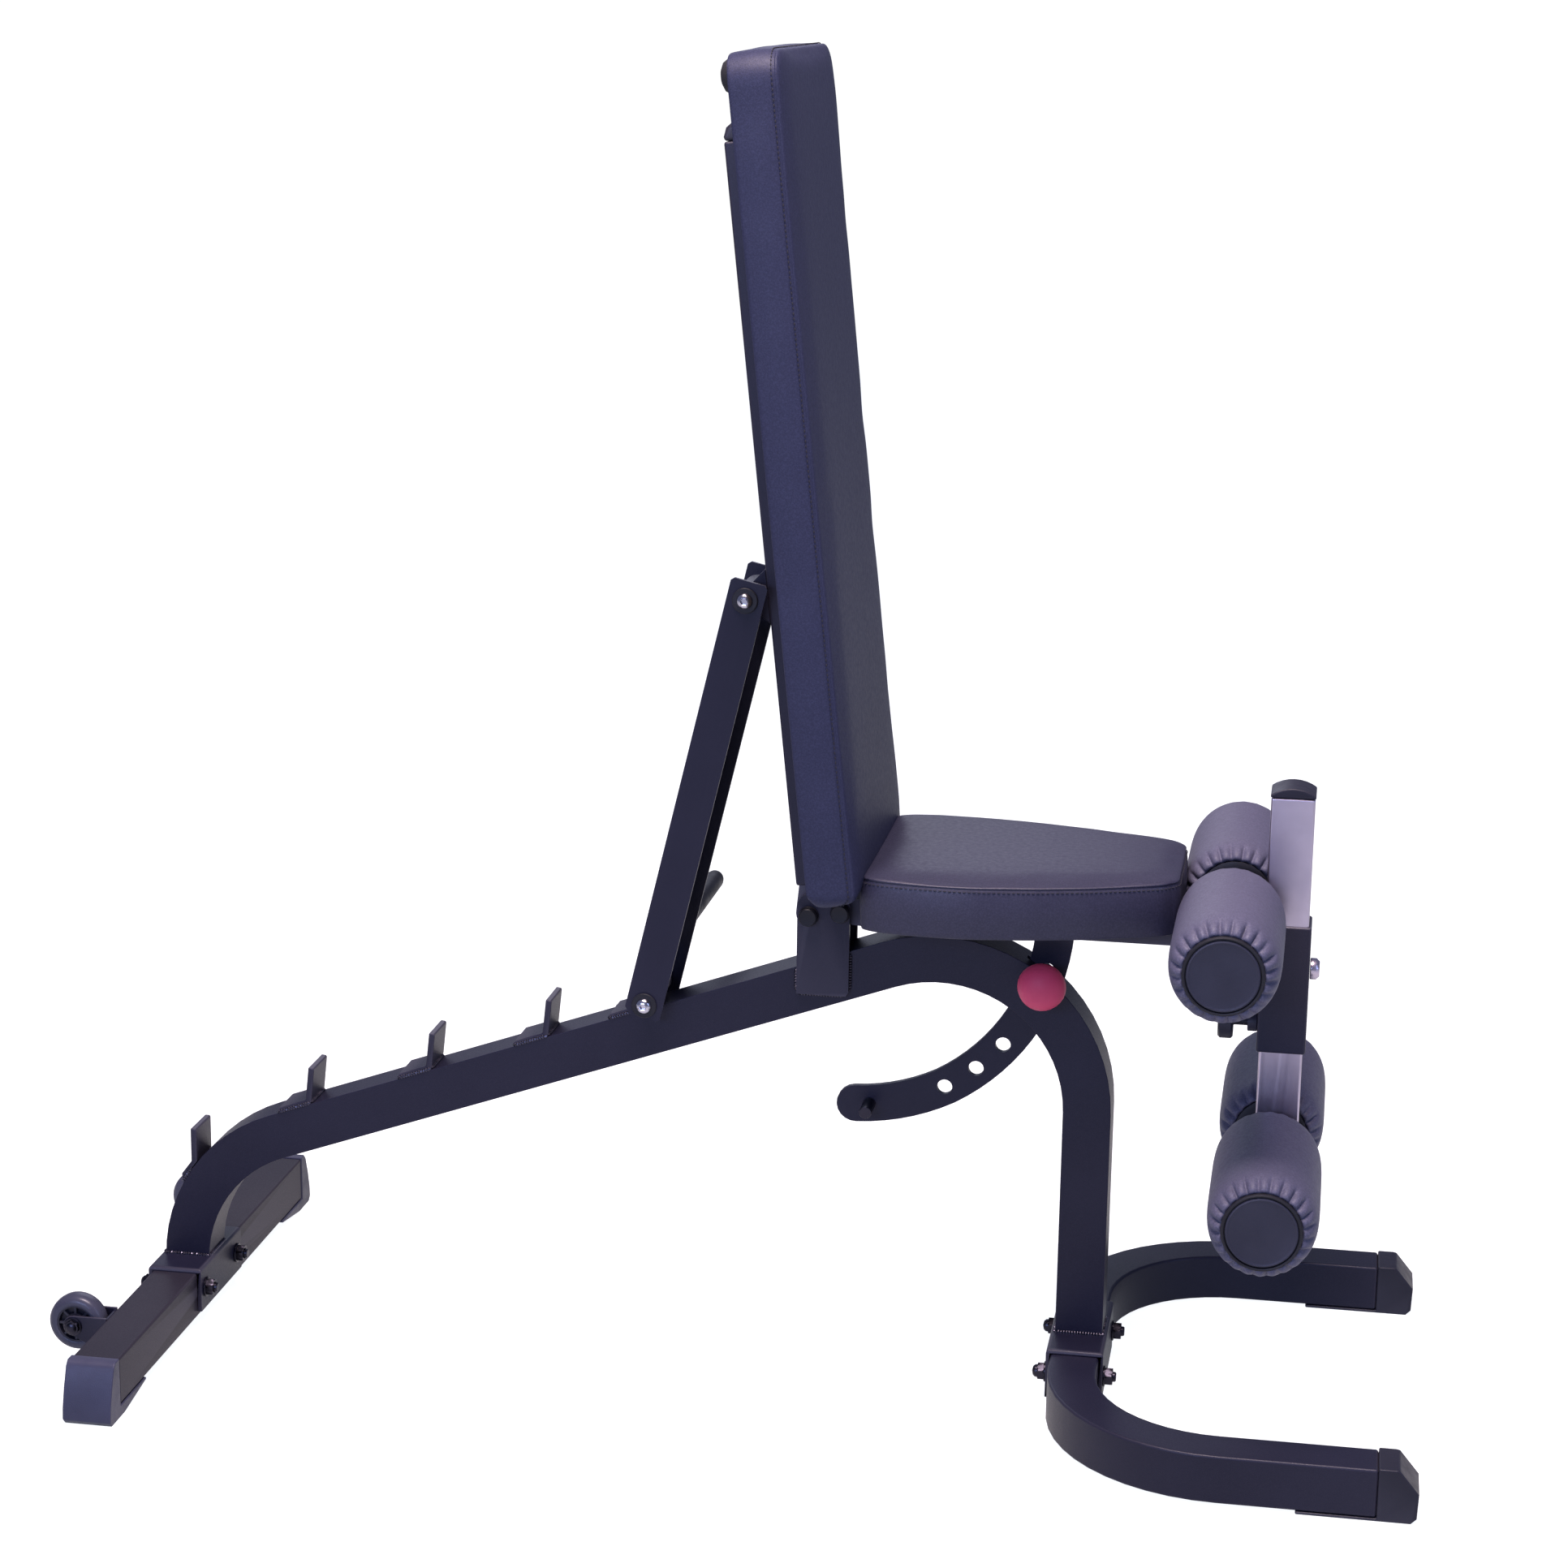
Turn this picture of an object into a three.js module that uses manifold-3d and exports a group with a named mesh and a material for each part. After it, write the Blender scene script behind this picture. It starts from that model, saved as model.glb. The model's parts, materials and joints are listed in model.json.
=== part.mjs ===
// Adjustable weight bench with a flat-to-upright back, a tilting seat and a leg hold-down.
// Millimetres, +Z up, +X towards the leg hold-down, -Y the side with the red seat pin.
// The drawing frame has its X zero on the rear face of the front post; the whole bench is then
// moved along X so that the exported origin is the centre of its footprint.
import * as THREE from "three";
import { mergeVertices } from "three/addons/utils/BufferGeometryUtils.js";
import Module from "manifold-3d";

const wasm = await Module();
wasm.setup();

// ---- driving dimensions ----
const GAP = 0.3;
const TUBE = 45;
const WALL = 2.5;
const HALF = TUBE / 2;
const BEND = 142.5;
const PLATE = 5;
const FLOOR_TO_TUBE = 3;
const TUBE_TOP = FLOOR_TO_TUBE + TUBE;

const POST_X = HALF;
const POST_BEND_Z = 272;
const RAIL_SLOPE = THREE.MathUtils.degToRad(19.7);
const REAR_X = -864;
const SADDLE_TOP = TUBE_TOP + 4.5;
const REAR_TUBE = { bottom: 11.5, top: 56.5 };
const REAR_SADDLE_TOP = REAR_TUBE.top + 4.5;

const FOOT_HALF_WIDTH = 259;
const FOOT_END_X = 304;
const FOOT_CAP_FRONT = 340;
const CROSS_HALF = 271;
const CROSS_END = 299;
const CAP_LIP = 70;
const REAR_LIP = 66;

const FRONT_BOLT_Y = 55;
const REAR_BOLT_Y = 45.5;
const BOLT_Z = FLOOR_TO_TUBE + HALF;
const REAR_BOLT_Z = 38;
const BOLT_R = 5;
const HOLE_R = 5.5;

const WHEEL = { x: -920, y: 170, z: 47, r: 27.5, width: 22 };

const BACK_PIVOT = [-243, 451];
const SEAT_PIVOT = [-213, 456];
const BACK_LEAN = THREE.MathUtils.degToRad(6.31);
const BACK_WIDTH = 297;
const BACK_BOTTOM = 514;
const BACK_TOP = 1267;
const BACK_FRONT = -125;
const BACK_REAR = -170.3;
const BOARD = 12;
const BACK_TUBE = { rear: -202.5, front: -171, bottom: 502.5, top: 1189 };

const STRUT_TOP = [-303.7, 750.4];
const STRUT_FOOT = [-396.2, 358.3];
const STRUT_DEPTH = 35;
const STRUT_OUT = 45;
const STRUT_WALL = 3.5;

const SEAT_TOP = 514;
const SEAT_BOTTOM = 466.3;
const SEAT_REAR = -180;
const SEAT_FRONT = 98;
const SEAT_TUBE = { bottom: 441, top: 466, half: 20, end: 175.7 };

const ARC = { outer: 217, inner: 181, hole: 199, thick: 6, holeR: 7.3, end: -86, bend: -60, inset: 3.2 };
const ARC_HOLES = [-15, -27.4, -39.7, -49.9, -60.2];
const STUD = { angle: -82, r: 6, end: -31 };
const SEAT_PIN = [-20.8, 404.5];
const SEAT_PIN_R = 4;
const CLAMP_Z = 421.5;

const SLEEVE = { x: 198.5, bottom: 344.4, top: 466, inner: 20.3 };
const LEG = { half: 19.9, wall: 2, bottom: 214, top: 586 };
const UPPER_AXLE = [149, 477.5];
const LOWER_AXLE = [192.5, 247.5];
const ROLLER = { r: 49.3, start: 27, end: 228, bore: 11.5, axle: 11 };
const LEG_PIN_Z = 367;

// ---- helpers ----
const deg = THREE.MathUtils.degToRad;
const polar = (c, r, a) => [c[0] + r * Math.cos(a), c[1] + r * Math.sin(a)];

// A closed mesh as a solid that can be joined and cut.
function solid(geometry) {
  const bare = geometry.clone();
  bare.deleteAttribute("normal");
  bare.deleteAttribute("uv");
  const merged = mergeVertices(bare, 1e-4);
  const vertProperties = new Float32Array(merged.attributes.position.array);
  const triVerts = new Uint32Array(merged.index.array);
  return new wasm.Manifold(new wasm.Mesh({ numProp: 3, vertProperties, triVerts }));
}

// A solid back as a geometry.
function geometry(manifold) {
  const mesh = manifold.getMesh();
  const result = new THREE.BufferGeometry();
  result.setAttribute("position", new THREE.BufferAttribute(new Float32Array(mesh.vertProperties), 3));
  result.setIndex(new THREE.BufferAttribute(new Uint32Array(mesh.triVerts), 1));
  result.computeVertexNormals();
  return result;
}

const join = (...parts) => parts.reduce((a, b) => a.add(b));
const cut = (body, ...tools) => tools.reduce((a, b) => a.subtract(b), body);

const box = (x0, x1, y0, y1, z0, z1) => {
  const shape = new THREE.BoxGeometry(x1 - x0, y1 - y0, z1 - z0);
  return solid(shape.translate((x0 + x1) / 2, (y0 + y1) / 2, (z0 + z1) / 2));
};

const outline = (points) => new THREE.Shape(points.map((p) => new THREE.Vector2(p[0], p[1])));

// An outline drawn in X and Z, given thickness from y0 to y1.
function plateXZ(points, y0, y1) {
  const block = new THREE.ExtrudeGeometry(outline(points), { depth: y1 - y0, bevelEnabled: false });
  return solid(block.rotateX(Math.PI / 2).translate(0, y1, 0));
}

// An outline drawn in X and Y, given thickness from z0 to z1.
function plateXY(points, z0, z1) {
  const block = new THREE.ExtrudeGeometry(outline(points), { depth: z1 - z0, bevelEnabled: false });
  return solid(block.translate(0, 0, z0));
}

// An outline drawn in Y and Z, given thickness from x0 to x1.
function plateYZ(points, x0, x1) {
  const block = new THREE.ExtrudeGeometry(outline(points), { depth: x1 - x0, bevelEnabled: false });
  return solid(block.rotateX(Math.PI / 2).rotateZ(Math.PI / 2).translate(x0, 0, 0));
}

// A turned part: radius against distance, about the Y axis through (x, z).
function turnedY(profile, x, z, segments = 20) {
  const lathe = new THREE.LatheGeometry(profile.map((p) => new THREE.Vector2(p[0], p[1])), segments);
  return solid(lathe.translate(x, 0, z));
}

// A turned part about the X axis through (y, z).
function turnedX(profile, y, z, segments = 20) {
  const lathe = new THREE.LatheGeometry(profile.map((p) => new THREE.Vector2(p[0], p[1])), segments);
  return solid(lathe.rotateZ(-Math.PI / 2).translate(0, y, z));
}

const rodY = (x, z, r, y0, y1, segments = 20) =>
  turnedY([[0, y0], [r, y0], [r, y1], [0, y1]], x, z, segments);
const rodX = (y, z, r, x0, x1, segments = 20) =>
  turnedX([[0, x0], [r, x0], [r, x1], [0, x1]], y, z, segments);

// Points of an arc from angle a to angle b, both included.
function arc(centre, r, a, b, steps) {
  return Array.from({ length: steps + 1 }, (_, i) => polar(centre, r, a + ((b - a) * i) / steps));
}

// Both sides of a bent tube's centre line, as one closed outline. Each leg of the path is either a
// straight point with its travel angle or an arc about a centre; grow widens or narrows the bar.
function bentOutline(legs, half) {
  const left = [];
  const right = [];
  for (const leg of legs) {
    if (leg.centre) {
      const sign = Math.sign(leg.to - leg.from);
      left.push(...arc(leg.centre, BEND - sign * half, leg.from, leg.to, leg.steps));
      right.push(...arc(leg.centre, BEND + sign * half, leg.from, leg.to, leg.steps));
    } else {
      const normal = [-Math.sin(leg.angle) * half, Math.cos(leg.angle) * half];
      left.push([leg.at[0] + normal[0], leg.at[1] + normal[1]]);
      right.push([leg.at[0] - normal[0], leg.at[1] - normal[1]]);
    }
  }
  return [...right, ...left.reverse()];
}

// The back rest is drawn in its own frame: n is the distance in front of the line through the
// drawing origin that leans back with it, s the distance along it.
const leanCos = Math.cos(BACK_LEAN);
const leanSin = Math.sin(BACK_LEAN);
const onBack = (n, s) => [n * leanCos - s * leanSin, n * leanSin + s * leanCos];
const backOutline = (points) => points.map((p) => onBack(p[0], p[1]));

// ---- materials ----
const finish = (color, roughness, metalness) =>
  new THREE.MeshStandardMaterial({ color, roughness, metalness });
const frameBlack = () => finish(0x23242b, 0.6, 0.3);
const chrome = () => finish(0xc9c4c8, 0.25, 0.9);
const steel = () => finish(0x8d8f96, 0.35, 0.9);
const plastic = () => finish(0x2e3038, 0.55, 0);
const vinyl = () => finish(0x3a3e4c, 0.5, 0);
const wood = () => finish(0x7a5c3c, 0.8, 0);
const red = () => finish(0xa3263a, 0.5, 0);
const rubber = () => finish(0x17181c, 0.8, 0);
const tyre = () => finish(0x4a4e58, 0.4, 0);

const bench = new THREE.Group();
function piece(name, manifold, material) {
  const mesh = new THREE.Mesh(geometry(manifold), material);
  mesh.name = name;
  bench.add(mesh);
}

const sides = [["near", -1], ["far", 1]];

// ---- main rail ----
// One tube: up from the rear saddle, forward along the slope, over the hump and down as the post.
const HUMP = [POST_X - BEND, POST_BEND_Z];
const REAR_BEND_X = REAR_X + BEND;
const REAR_BEND_Z = HUMP[1] - (HUMP[0] - REAR_BEND_X) * Math.tan(RAIL_SLOPE);
const railLegs = (end) => [
  { at: [REAR_X, 40 - end], angle: Math.PI / 2 },
  { centre: [REAR_BEND_X, REAR_BEND_Z], from: Math.PI, to: Math.PI / 2 + RAIL_SLOPE, steps: 12 },
  { centre: HUMP, from: Math.PI / 2 + RAIL_SLOPE, to: 0, steps: 18 },
  { at: [POST_X, SADDLE_TOP + GAP - end], angle: -Math.PI / 2 },
];
const inside = HALF - WALL;
const arcSlot = plateXZ(
  [
    ...arc(SEAT_PIVOT, ARC.outer + 3, 0, deg(-62), 16),
    ...arc(SEAT_PIVOT, ARC.inner - 3, deg(-62), 0, 16),
  ],
  -ARC.thick / 2 - 1.5,
  ARC.thick / 2 + 1.5,
);
piece(
  "main_rail",
  cut(
    plateXZ(bentOutline(railLegs(0), HALF), -HALF, HALF),
    plateXZ(bentOutline(railLegs(1), inside), -inside, inside),
    box(REAR_X - 60, REAR_X + 60, -60, 60, 0, REAR_SADDLE_TOP + GAP),
    rodY(SEAT_PIN[0], SEAT_PIN[1], SEAT_PIN_R + 1, -30, -1, 20),
    arcSlot,
  ),
  frameBlack(),
);

// ---- floor frames ----
const footCentre = FOOT_HALF_WIDTH - HALF;
const footArcY = footCentre - BEND;
const footLegs = (end) => [
  { at: [FOOT_END_X + end, -footCentre], angle: Math.PI },
  { centre: [POST_X + BEND, -footArcY], from: -Math.PI / 2, to: -Math.PI, steps: 12 },
  { centre: [POST_X + BEND, footArcY], from: Math.PI, to: Math.PI / 2, steps: 12 },
  { at: [FOOT_END_X + end, footCentre], angle: 0 },
];
const boltHoles = (ys, z, x0, x1) => ys.map((y) => rodX(y, z, HOLE_R, x0, x1, 16));
const frontBoltYs = [-FRONT_BOLT_Y, FRONT_BOLT_Y];
const rearBoltYs = [-REAR_BOLT_Y, REAR_BOLT_Y];
piece(
  "front_foot_tube",
  cut(
    plateXY(bentOutline(footLegs(0), HALF), FLOOR_TO_TUBE, TUBE_TOP),
    plateXY(bentOutline(footLegs(1), inside), FLOOR_TO_TUBE + WALL, TUBE_TOP - WALL),
    ...boltHoles(frontBoltYs, BOLT_Z, -10, 60),
  ),
  frameBlack(),
);
piece(
  "rear_cross_tube",
  cut(
    box(REAR_X - HALF, REAR_X + HALF, -CROSS_HALF, CROSS_HALF, REAR_TUBE.bottom, REAR_TUBE.top),
    box(
      REAR_X - inside, REAR_X + inside, -CROSS_HALF - 1, CROSS_HALF + 1,
      REAR_TUBE.bottom + WALL, REAR_TUBE.top - WALL,
    ),
    ...boltHoles(rearBoltYs, REAR_BOLT_Z, REAR_X - 40, REAR_X + 40),
  ),
  frameBlack(),
);

// A saddle: an upside-down channel over a floor tube, bolted through it.
function saddle(name, x, half, bottom, top, ys, boltZ) {
  const inner = HALF + GAP;
  const outer = inner + 4.2;
  const body = box(x - outer, x + outer, -half, half, bottom, top);
  const room = box(x - inner, x + inner, -half - 1, half + 1, 0, top - 4.2);
  piece(name, cut(body, room, ...boltHoles(ys, boltZ, x - 40, x + 40)), frameBlack());
}
saddle("front_saddle", POST_X, 66, FLOOR_TO_TUBE + 1, SADDLE_TOP, frontBoltYs, BOLT_Z);
saddle("rear_saddle", REAR_X, 60, REAR_TUBE.bottom + 5.5, REAR_SADDLE_TOP, rearBoltYs, REAR_BOLT_Z);

// A saddle bolt with its head on one side and its nut on the other.
function saddleBolt(name, x, y, z) {
  const face = HALF + GAP + 4.2 + GAP;
  const profile = [
    [0, x - face - 10], [6, x - face - 10], [8.5, x - face - 7], [8.5, x - face],
    [BOLT_R, x - face], [BOLT_R, x + face], [8.5, x + face], [8.5, x + face + 8],
    [BOLT_R, x + face + 8], [BOLT_R, x + face + 12], [0, x + face + 12],
  ];
  piece(name, turnedX(profile, y, z, 12), steel());
}
for (const [side, sign] of sides) {
  saddleBolt(`front_bolt_${side}`, POST_X, sign * FRONT_BOLT_Y, BOLT_Z);
  saddleBolt(`rear_bolt_${side}`, REAR_X, sign * REAR_BOLT_Y, REAR_BOLT_Z);
}

// End caps: a nose on the tube's end, a plug inside it and a thin lip that the bench stands on.
const capOver = HALF + 0.8;
const plug = inside - GAP;
for (const [side, sign] of sides) {
  const y = sign * footCentre;
  const nose = plateXZ(
    [
      [FOOT_END_X - CAP_LIP, 0], [FOOT_CAP_FRONT - 6, 0], [FOOT_CAP_FRONT - 1, 5],
      [FOOT_CAP_FRONT, 28], [FOOT_END_X + 19, TUBE_TOP + 0.5], [FOOT_END_X + 16, TUBE_TOP + 1.3],
      [FOOT_END_X + GAP, TUBE_TOP + 1.3], [FOOT_END_X + GAP, FLOOR_TO_TUBE - GAP],
      [FOOT_END_X - CAP_LIP, FLOOR_TO_TUBE - GAP],
    ],
    y - capOver,
    y + capOver,
  );
  const insert = box(
    FOOT_END_X - 22, FOOT_END_X + 1, y - plug, y + plug,
    FLOOR_TO_TUBE + WALL + GAP, TUBE_TOP - WALL - GAP,
  );
  piece(`front_cap_${side}`, join(nose, insert), plastic());

  const seam = CROSS_HALF + GAP;
  const profile = [
    [CROSS_HALF - REAR_LIP, 8.5], [CROSS_HALF - 9, 0], [CROSS_END - 5, 0], [CROSS_END, 5],
    [CROSS_END - 1, 16], [CROSS_END - 6, 35], [CROSS_END - 13, 53],
    [CROSS_END - 18, REAR_TUBE.top + 1.3], [seam, REAR_TUBE.top + 1.3],
    [seam, REAR_TUBE.bottom - GAP], [CROSS_HALF - REAR_LIP, REAR_TUBE.bottom - GAP],
  ].map((p) => [sign * p[0], p[1]]);
  const end = plateYZ(sign > 0 ? profile : profile.reverse(), REAR_X - capOver, REAR_X + capOver);
  const yIn = sign * (CROSS_HALF - 22);
  const yOut = sign * (CROSS_HALF + 1);
  const rearInsert = box(
    REAR_X - plug, REAR_X + plug, Math.min(yIn, yOut), Math.max(yIn, yOut),
    REAR_TUBE.bottom + WALL + GAP, REAR_TUBE.top - WALL - GAP,
  );
  piece(`rear_cap_${side}`, join(end, rearInsert), plastic());
}

// ---- transport wheels ----
for (const [side, sign] of sides) {
  const y = sign * WHEEL.y;
  const face = REAR_X - HALF - GAP;
  const halfGap = WHEEL.width / 2 + 1.5;
  const cheek = [
    ...arc([WHEEL.x, WHEEL.z], 10, Math.PI / 2, (Math.PI * 3) / 2, 8),
    [face, 20], [face, WHEEL.z + 10],
  ];
  const fork = join(
    plateXZ(cheek, y - halfGap - 3, y - halfGap),
    plateXZ(cheek, y + halfGap, y + halfGap + 3),
    box(face - 2.6, face, y - halfGap - 1, y + halfGap + 1, 20, REAR_TUBE.top - 1.5),
  );
  const hole = rodY(WHEEL.x, WHEEL.z, HOLE_R, y - 30, y + 30, 16);
  piece(`wheel_fork_${side}`, cut(fork, hole), frameBlack());

  const out = halfGap + 3 + GAP;
  const axle = [
    [0, y - out - 5], [5, y - out - 4], [8, y - out], [BOLT_R, y - out],
    [BOLT_R, y + out], [8, y + out], [5, y + out + 4], [0, y + out + 5],
  ];
  piece(`wheel_axle_${side}`, turnedY(axle, WHEEL.x, WHEEL.z, 16), steel());

  const w = WHEEL.width / 2;
  const tread = [
    [BOLT_R + 0.4, y - w], [15, y - w], [WHEEL.r - 4, y - w + 0.5], [WHEEL.r, y - w + 5],
    [WHEEL.r, y + w - 5], [WHEEL.r - 4, y + w - 0.5], [15, y + w], [BOLT_R + 0.4, y + w],
    [BOLT_R + 0.4, y - w],
  ];
  piece(`wheel_${side}`, turnedY(tread, WHEEL.x, WHEEL.z, 28), tyre());
}

// ---- ladder catches ----
// A strap lies back along the rail and turns up into a blade that the strut's pin rests against.
const BLADE = { tall: 34, thick: 6, half: 22, base: 4.5 };
const railTop = (x) => {
  const start = polar(HUMP, BEND + HALF, Math.PI / 2 + RAIL_SLOPE);
  return start[1] + (x - start[0]) * Math.tan(RAIL_SLOPE);
};
function catchStrap(name, foot, slope, strap, lean) {
  const along = [Math.cos(slope), Math.sin(slope)];
  const up = [-Math.sin(slope), Math.cos(slope)];
  const blade = [Math.sin(lean), Math.cos(lean)];
  const through = [Math.cos(lean), -Math.sin(lean)];
  const at = (a, u) => [foot[0] + a * along[0] + u * up[0], foot[1] + a * along[1] + u * up[1]];
  const rise = (p, d, t) => [p[0] + d * blade[0] + t * through[0], p[1] + d * blade[1] + t * through[1]];
  const rear = at(0, BLADE.base + GAP);
  const drop = (BLADE.thick * Math.sin(slope + lean) - BLADE.base) / Math.cos(slope + lean);
  const points = [
    at(-strap, GAP), at(0, GAP), rise(rear, drop, BLADE.thick),
    rise(rear, BLADE.tall - 1, BLADE.thick), rise(rear, BLADE.tall, BLADE.thick - 1.5),
    rise(rear, BLADE.tall, 0), rear, at(3 - strap, BLADE.base + GAP), at(-strap, BLADE.base - 2),
  ];
  piece(name, plateXZ(points, -BLADE.half, BLADE.half), frameBlack());
}
const REAR_BEND = [REAR_BEND_X, REAR_BEND_Z];
const firstCatch = deg(143.1);
catchStrap("catch_1", polar(REAR_BEND, BEND + HALF + 0.3, firstCatch), firstCatch - Math.PI / 2, 20, 0);
const CATCHES = [[-737.2, 31.5], [-615.2, 31.5], [-499.3, 31.5], [-411.4, 25.5]];
CATCHES.forEach(([x, strap], i) => {
  catchStrap(`catch_${i + 2}`, [x, railTop(x)], RAIL_SLOPE, strap, deg(5.9));
});

// ---- pivot bracket ----
const bracket = [
  [-254, 374], [-207, 374], [-204.5, 378], [-204.5, 460],
  ...arc([-216.5, 460], 12, 0, Math.PI / 2, 5),
  ...arc([-242, 460], 12, Math.PI / 2, Math.PI, 5),
];
for (const [side, sign] of sides) {
  const inner = HALF + GAP;
  const y0 = sign > 0 ? inner : -inner - PLATE;
  const holes = [BACK_PIVOT, SEAT_PIVOT].map((p) => rodY(p[0], p[1], HOLE_R, -40, 40, 16));
  piece(`pivot_plate_${side}`, cut(plateXZ(bracket, y0, y0 + PLATE), ...holes), frameBlack());
}
function pivotBolt(name, at) {
  const out = HALF + PLATE + 2 * GAP;
  const profile = [
    [0, -out - 9], [5, -out - 8], [8.6, -out - 4], [9.4, -out], [BOLT_R, -out],
    [BOLT_R, out], [9.4, out], [8.6, out + 4], [5, out + 8], [0, out + 9],
  ];
  piece(name, turnedY(profile, at[0], at[1], 18), plastic());
}
pivotBolt("back_pivot_bolt", BACK_PIVOT);
pivotBolt("seat_pivot_bolt", SEAT_PIVOT);

// ---- seat pin on the hump ----
const pinBracket = [
  ...arc(SEAT_PIN, 13, deg(-35), deg(150), 10),
  polar(HUMP, BEND + 10.5, deg(56.5)), polar(HUMP, BEND + 10.5, deg(46.5)),
];
const pinInner = HALF + GAP;
piece(
  "seat_pin_bracket",
  cut(
    join(
      plateXZ(pinBracket, -pinInner - PLATE, -pinInner),
      rodY(SEAT_PIN[0], SEAT_PIN[1], 10, -pinInner - PLATE - 16, -pinInner - 1, 24),
    ),
    rodY(SEAT_PIN[0], SEAT_PIN[1], 4.6, -60, 0, 20),
  ),
  frameBlack(),
);
const pinFace = -pinInner - PLATE - 16;
const pinTip = -ARC.thick / 2 - 0.6;
piece("seat_pin", rodY(SEAT_PIN[0], SEAT_PIN[1], SEAT_PIN_R, pinFace - 7, pinTip, 16), steel());
const knob = [
  [0, pinFace - 29], [9, pinFace - 28], [16.7, pinFace - 24.5], [21.3, pinFace - 18],
  [22.6, pinFace - 12], [20.8, pinFace - 7], [12, pinFace - 3.5], [9, pinFace - 1.5],
  [4.3, pinFace - 1.5], [4.3, pinFace - 7 - GAP], [0, pinFace - 7 - GAP],
];
piece("seat_pin_knob", turnedY(knob, SEAT_PIN[0], SEAT_PIN[1], 28), red());

// ---- back rest ----
const tubeOutline = backOutline([
  [BACK_TUBE.rear, BACK_TUBE.bottom], [BACK_TUBE.front, BACK_TUBE.bottom],
  [BACK_TUBE.front, BACK_TUBE.top], [BACK_TUBE.rear, BACK_TUBE.top],
]);
const tubeHollow = backOutline([
  [BACK_TUBE.rear + WALL, BACK_TUBE.bottom + 20], [BACK_TUBE.front - WALL, BACK_TUBE.bottom + 20],
  [BACK_TUBE.front - WALL, BACK_TUBE.top + 1], [BACK_TUBE.rear + WALL, BACK_TUBE.top + 1],
]);
// The back tube's arm, with the eye that turns on the back pivot bolt.
const backArm = plateXZ(
  [
    ...backOutline([[BACK_TUBE.rear + 3, BACK_TUBE.bottom + 2], [-175, BACK_TUBE.bottom + 2]]).reverse(),
    ...arc(BACK_PIVOT, 13.5, deg(170), deg(362), 14),
  ],
  -20,
  20,
);
piece(
  "back_frame_tube",
  cut(
    join(
      cut(plateXZ(tubeOutline, -HALF, HALF), plateXZ(tubeHollow, -inside, inside)),
      backArm,
    ),
    rodY(BACK_PIVOT[0], BACK_PIVOT[1], HOLE_R, -30, 30, 16),
  ),
  frameBlack(),
);
const capTop = BACK_TUBE.top + GAP;
piece(
  "back_tube_cap",
  plateXZ(
    backOutline([
      [BACK_TUBE.rear, capTop], [BACK_TUBE.front, capTop], [BACK_TUBE.front, capTop + 17],
      [BACK_TUBE.rear + 10, capTop + 17], [BACK_TUBE.rear + 3, capTop + 12], [BACK_TUBE.rear, capTop + 4],
    ]),
    -HALF,
    HALF,
  ),
  plastic(),
);
const strutEyeS = STRUT_TOP[1] * leanCos - STRUT_TOP[0] * leanSin;
const lugFace = BACK_TUBE.rear - GAP;
piece(
  "strut_lug",
  cut(
    join(
      plateXZ(
        [
          ...backOutline([[lugFace, strutEyeS - 27], [lugFace, strutEyeS + 24]]),
          ...arc(STRUT_TOP, 13, deg(80), deg(258), 12),
        ],
        -20,
        20,
      ),
      rodY(STRUT_TOP[0], STRUT_TOP[1], 10, -STRUT_OUT + STRUT_WALL + 0.5, STRUT_OUT - STRUT_WALL - 0.5),
    ),
    rodY(STRUT_TOP[0], STRUT_TOP[1], HOLE_R, -50, 50, 16),
  ),
  frameBlack(),
);

// Pads are plain closed solids here: a tapered block with eased edges, on a plywood board.
const half = BACK_WIDTH / 2;
piece(
  "back_board",
  plateXZ(
    backOutline([
      [BACK_REAR, BACK_BOTTOM + 8], [BACK_REAR + BOARD, BACK_BOTTOM + 8],
      [BACK_REAR + BOARD, BACK_TOP - 8], [BACK_REAR, BACK_TOP - 8],
    ]),
    -half + 7,
    half - 7,
  ),
  wood(),
);
const backPadRear = BACK_REAR + BOARD + GAP;
const bottomEase = 24;
const topEase = 12;
const easeCentre = [BACK_FRONT - bottomEase, BACK_BOTTOM + bottomEase];
const topCentre = [BACK_FRONT - topEase, BACK_TOP - topEase];
piece(
  "back_pad",
  plateXZ(
    backOutline([
      [backPadRear, BACK_BOTTOM], ...arc(easeCentre, bottomEase, -Math.PI / 2, 0, 6),
      ...arc(topCentre, topEase, 0, Math.PI / 2, 4), [backPadRear, BACK_TOP],
    ]),
    -half,
    half,
  ),
  vinyl(),
);
for (const [side, sign] of sides) {
  const dome = new THREE.LatheGeometry(
    [[0, 0], [15.5, 0], [15.5, 3], [12.5, 7.5], [7, 10], [0, 10.8]].map((p) => new THREE.Vector2(...p)),
    20,
  );
  dome.rotateZ(Math.PI / 2);
  dome.rotateY(-BACK_LEAN);
  const at = onBack(BACK_REAR - GAP, 1246);
  dome.translate(at[0], sign * 112, at[1]);
  piece(`back_bumper_${side}`, solid(dome), rubber());
}

// ---- strut ----
const strutLength = Math.hypot(STRUT_TOP[0] - STRUT_FOOT[0], STRUT_TOP[1] - STRUT_FOOT[1]);
const strutUp = [(STRUT_TOP[0] - STRUT_FOOT[0]) / strutLength, (STRUT_TOP[1] - STRUT_FOOT[1]) / strutLength];
const onStrut = (across, up) => [
  STRUT_FOOT[0] + strutUp[0] * up + strutUp[1] * across,
  STRUT_FOOT[1] + strutUp[1] * up - strutUp[0] * across,
];
const sh = STRUT_DEPTH / 2;
const flange = [
  [-sh, -6], [-sh + 5, -12], [sh - 2, -12], [sh, -10],
  [sh, strutLength + 15], [sh - 3, strutLength + 18], [-sh + 3, strutLength + 18], [-sh, strutLength + 15],
].map((p) => onStrut(p[0], p[1]));
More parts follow.
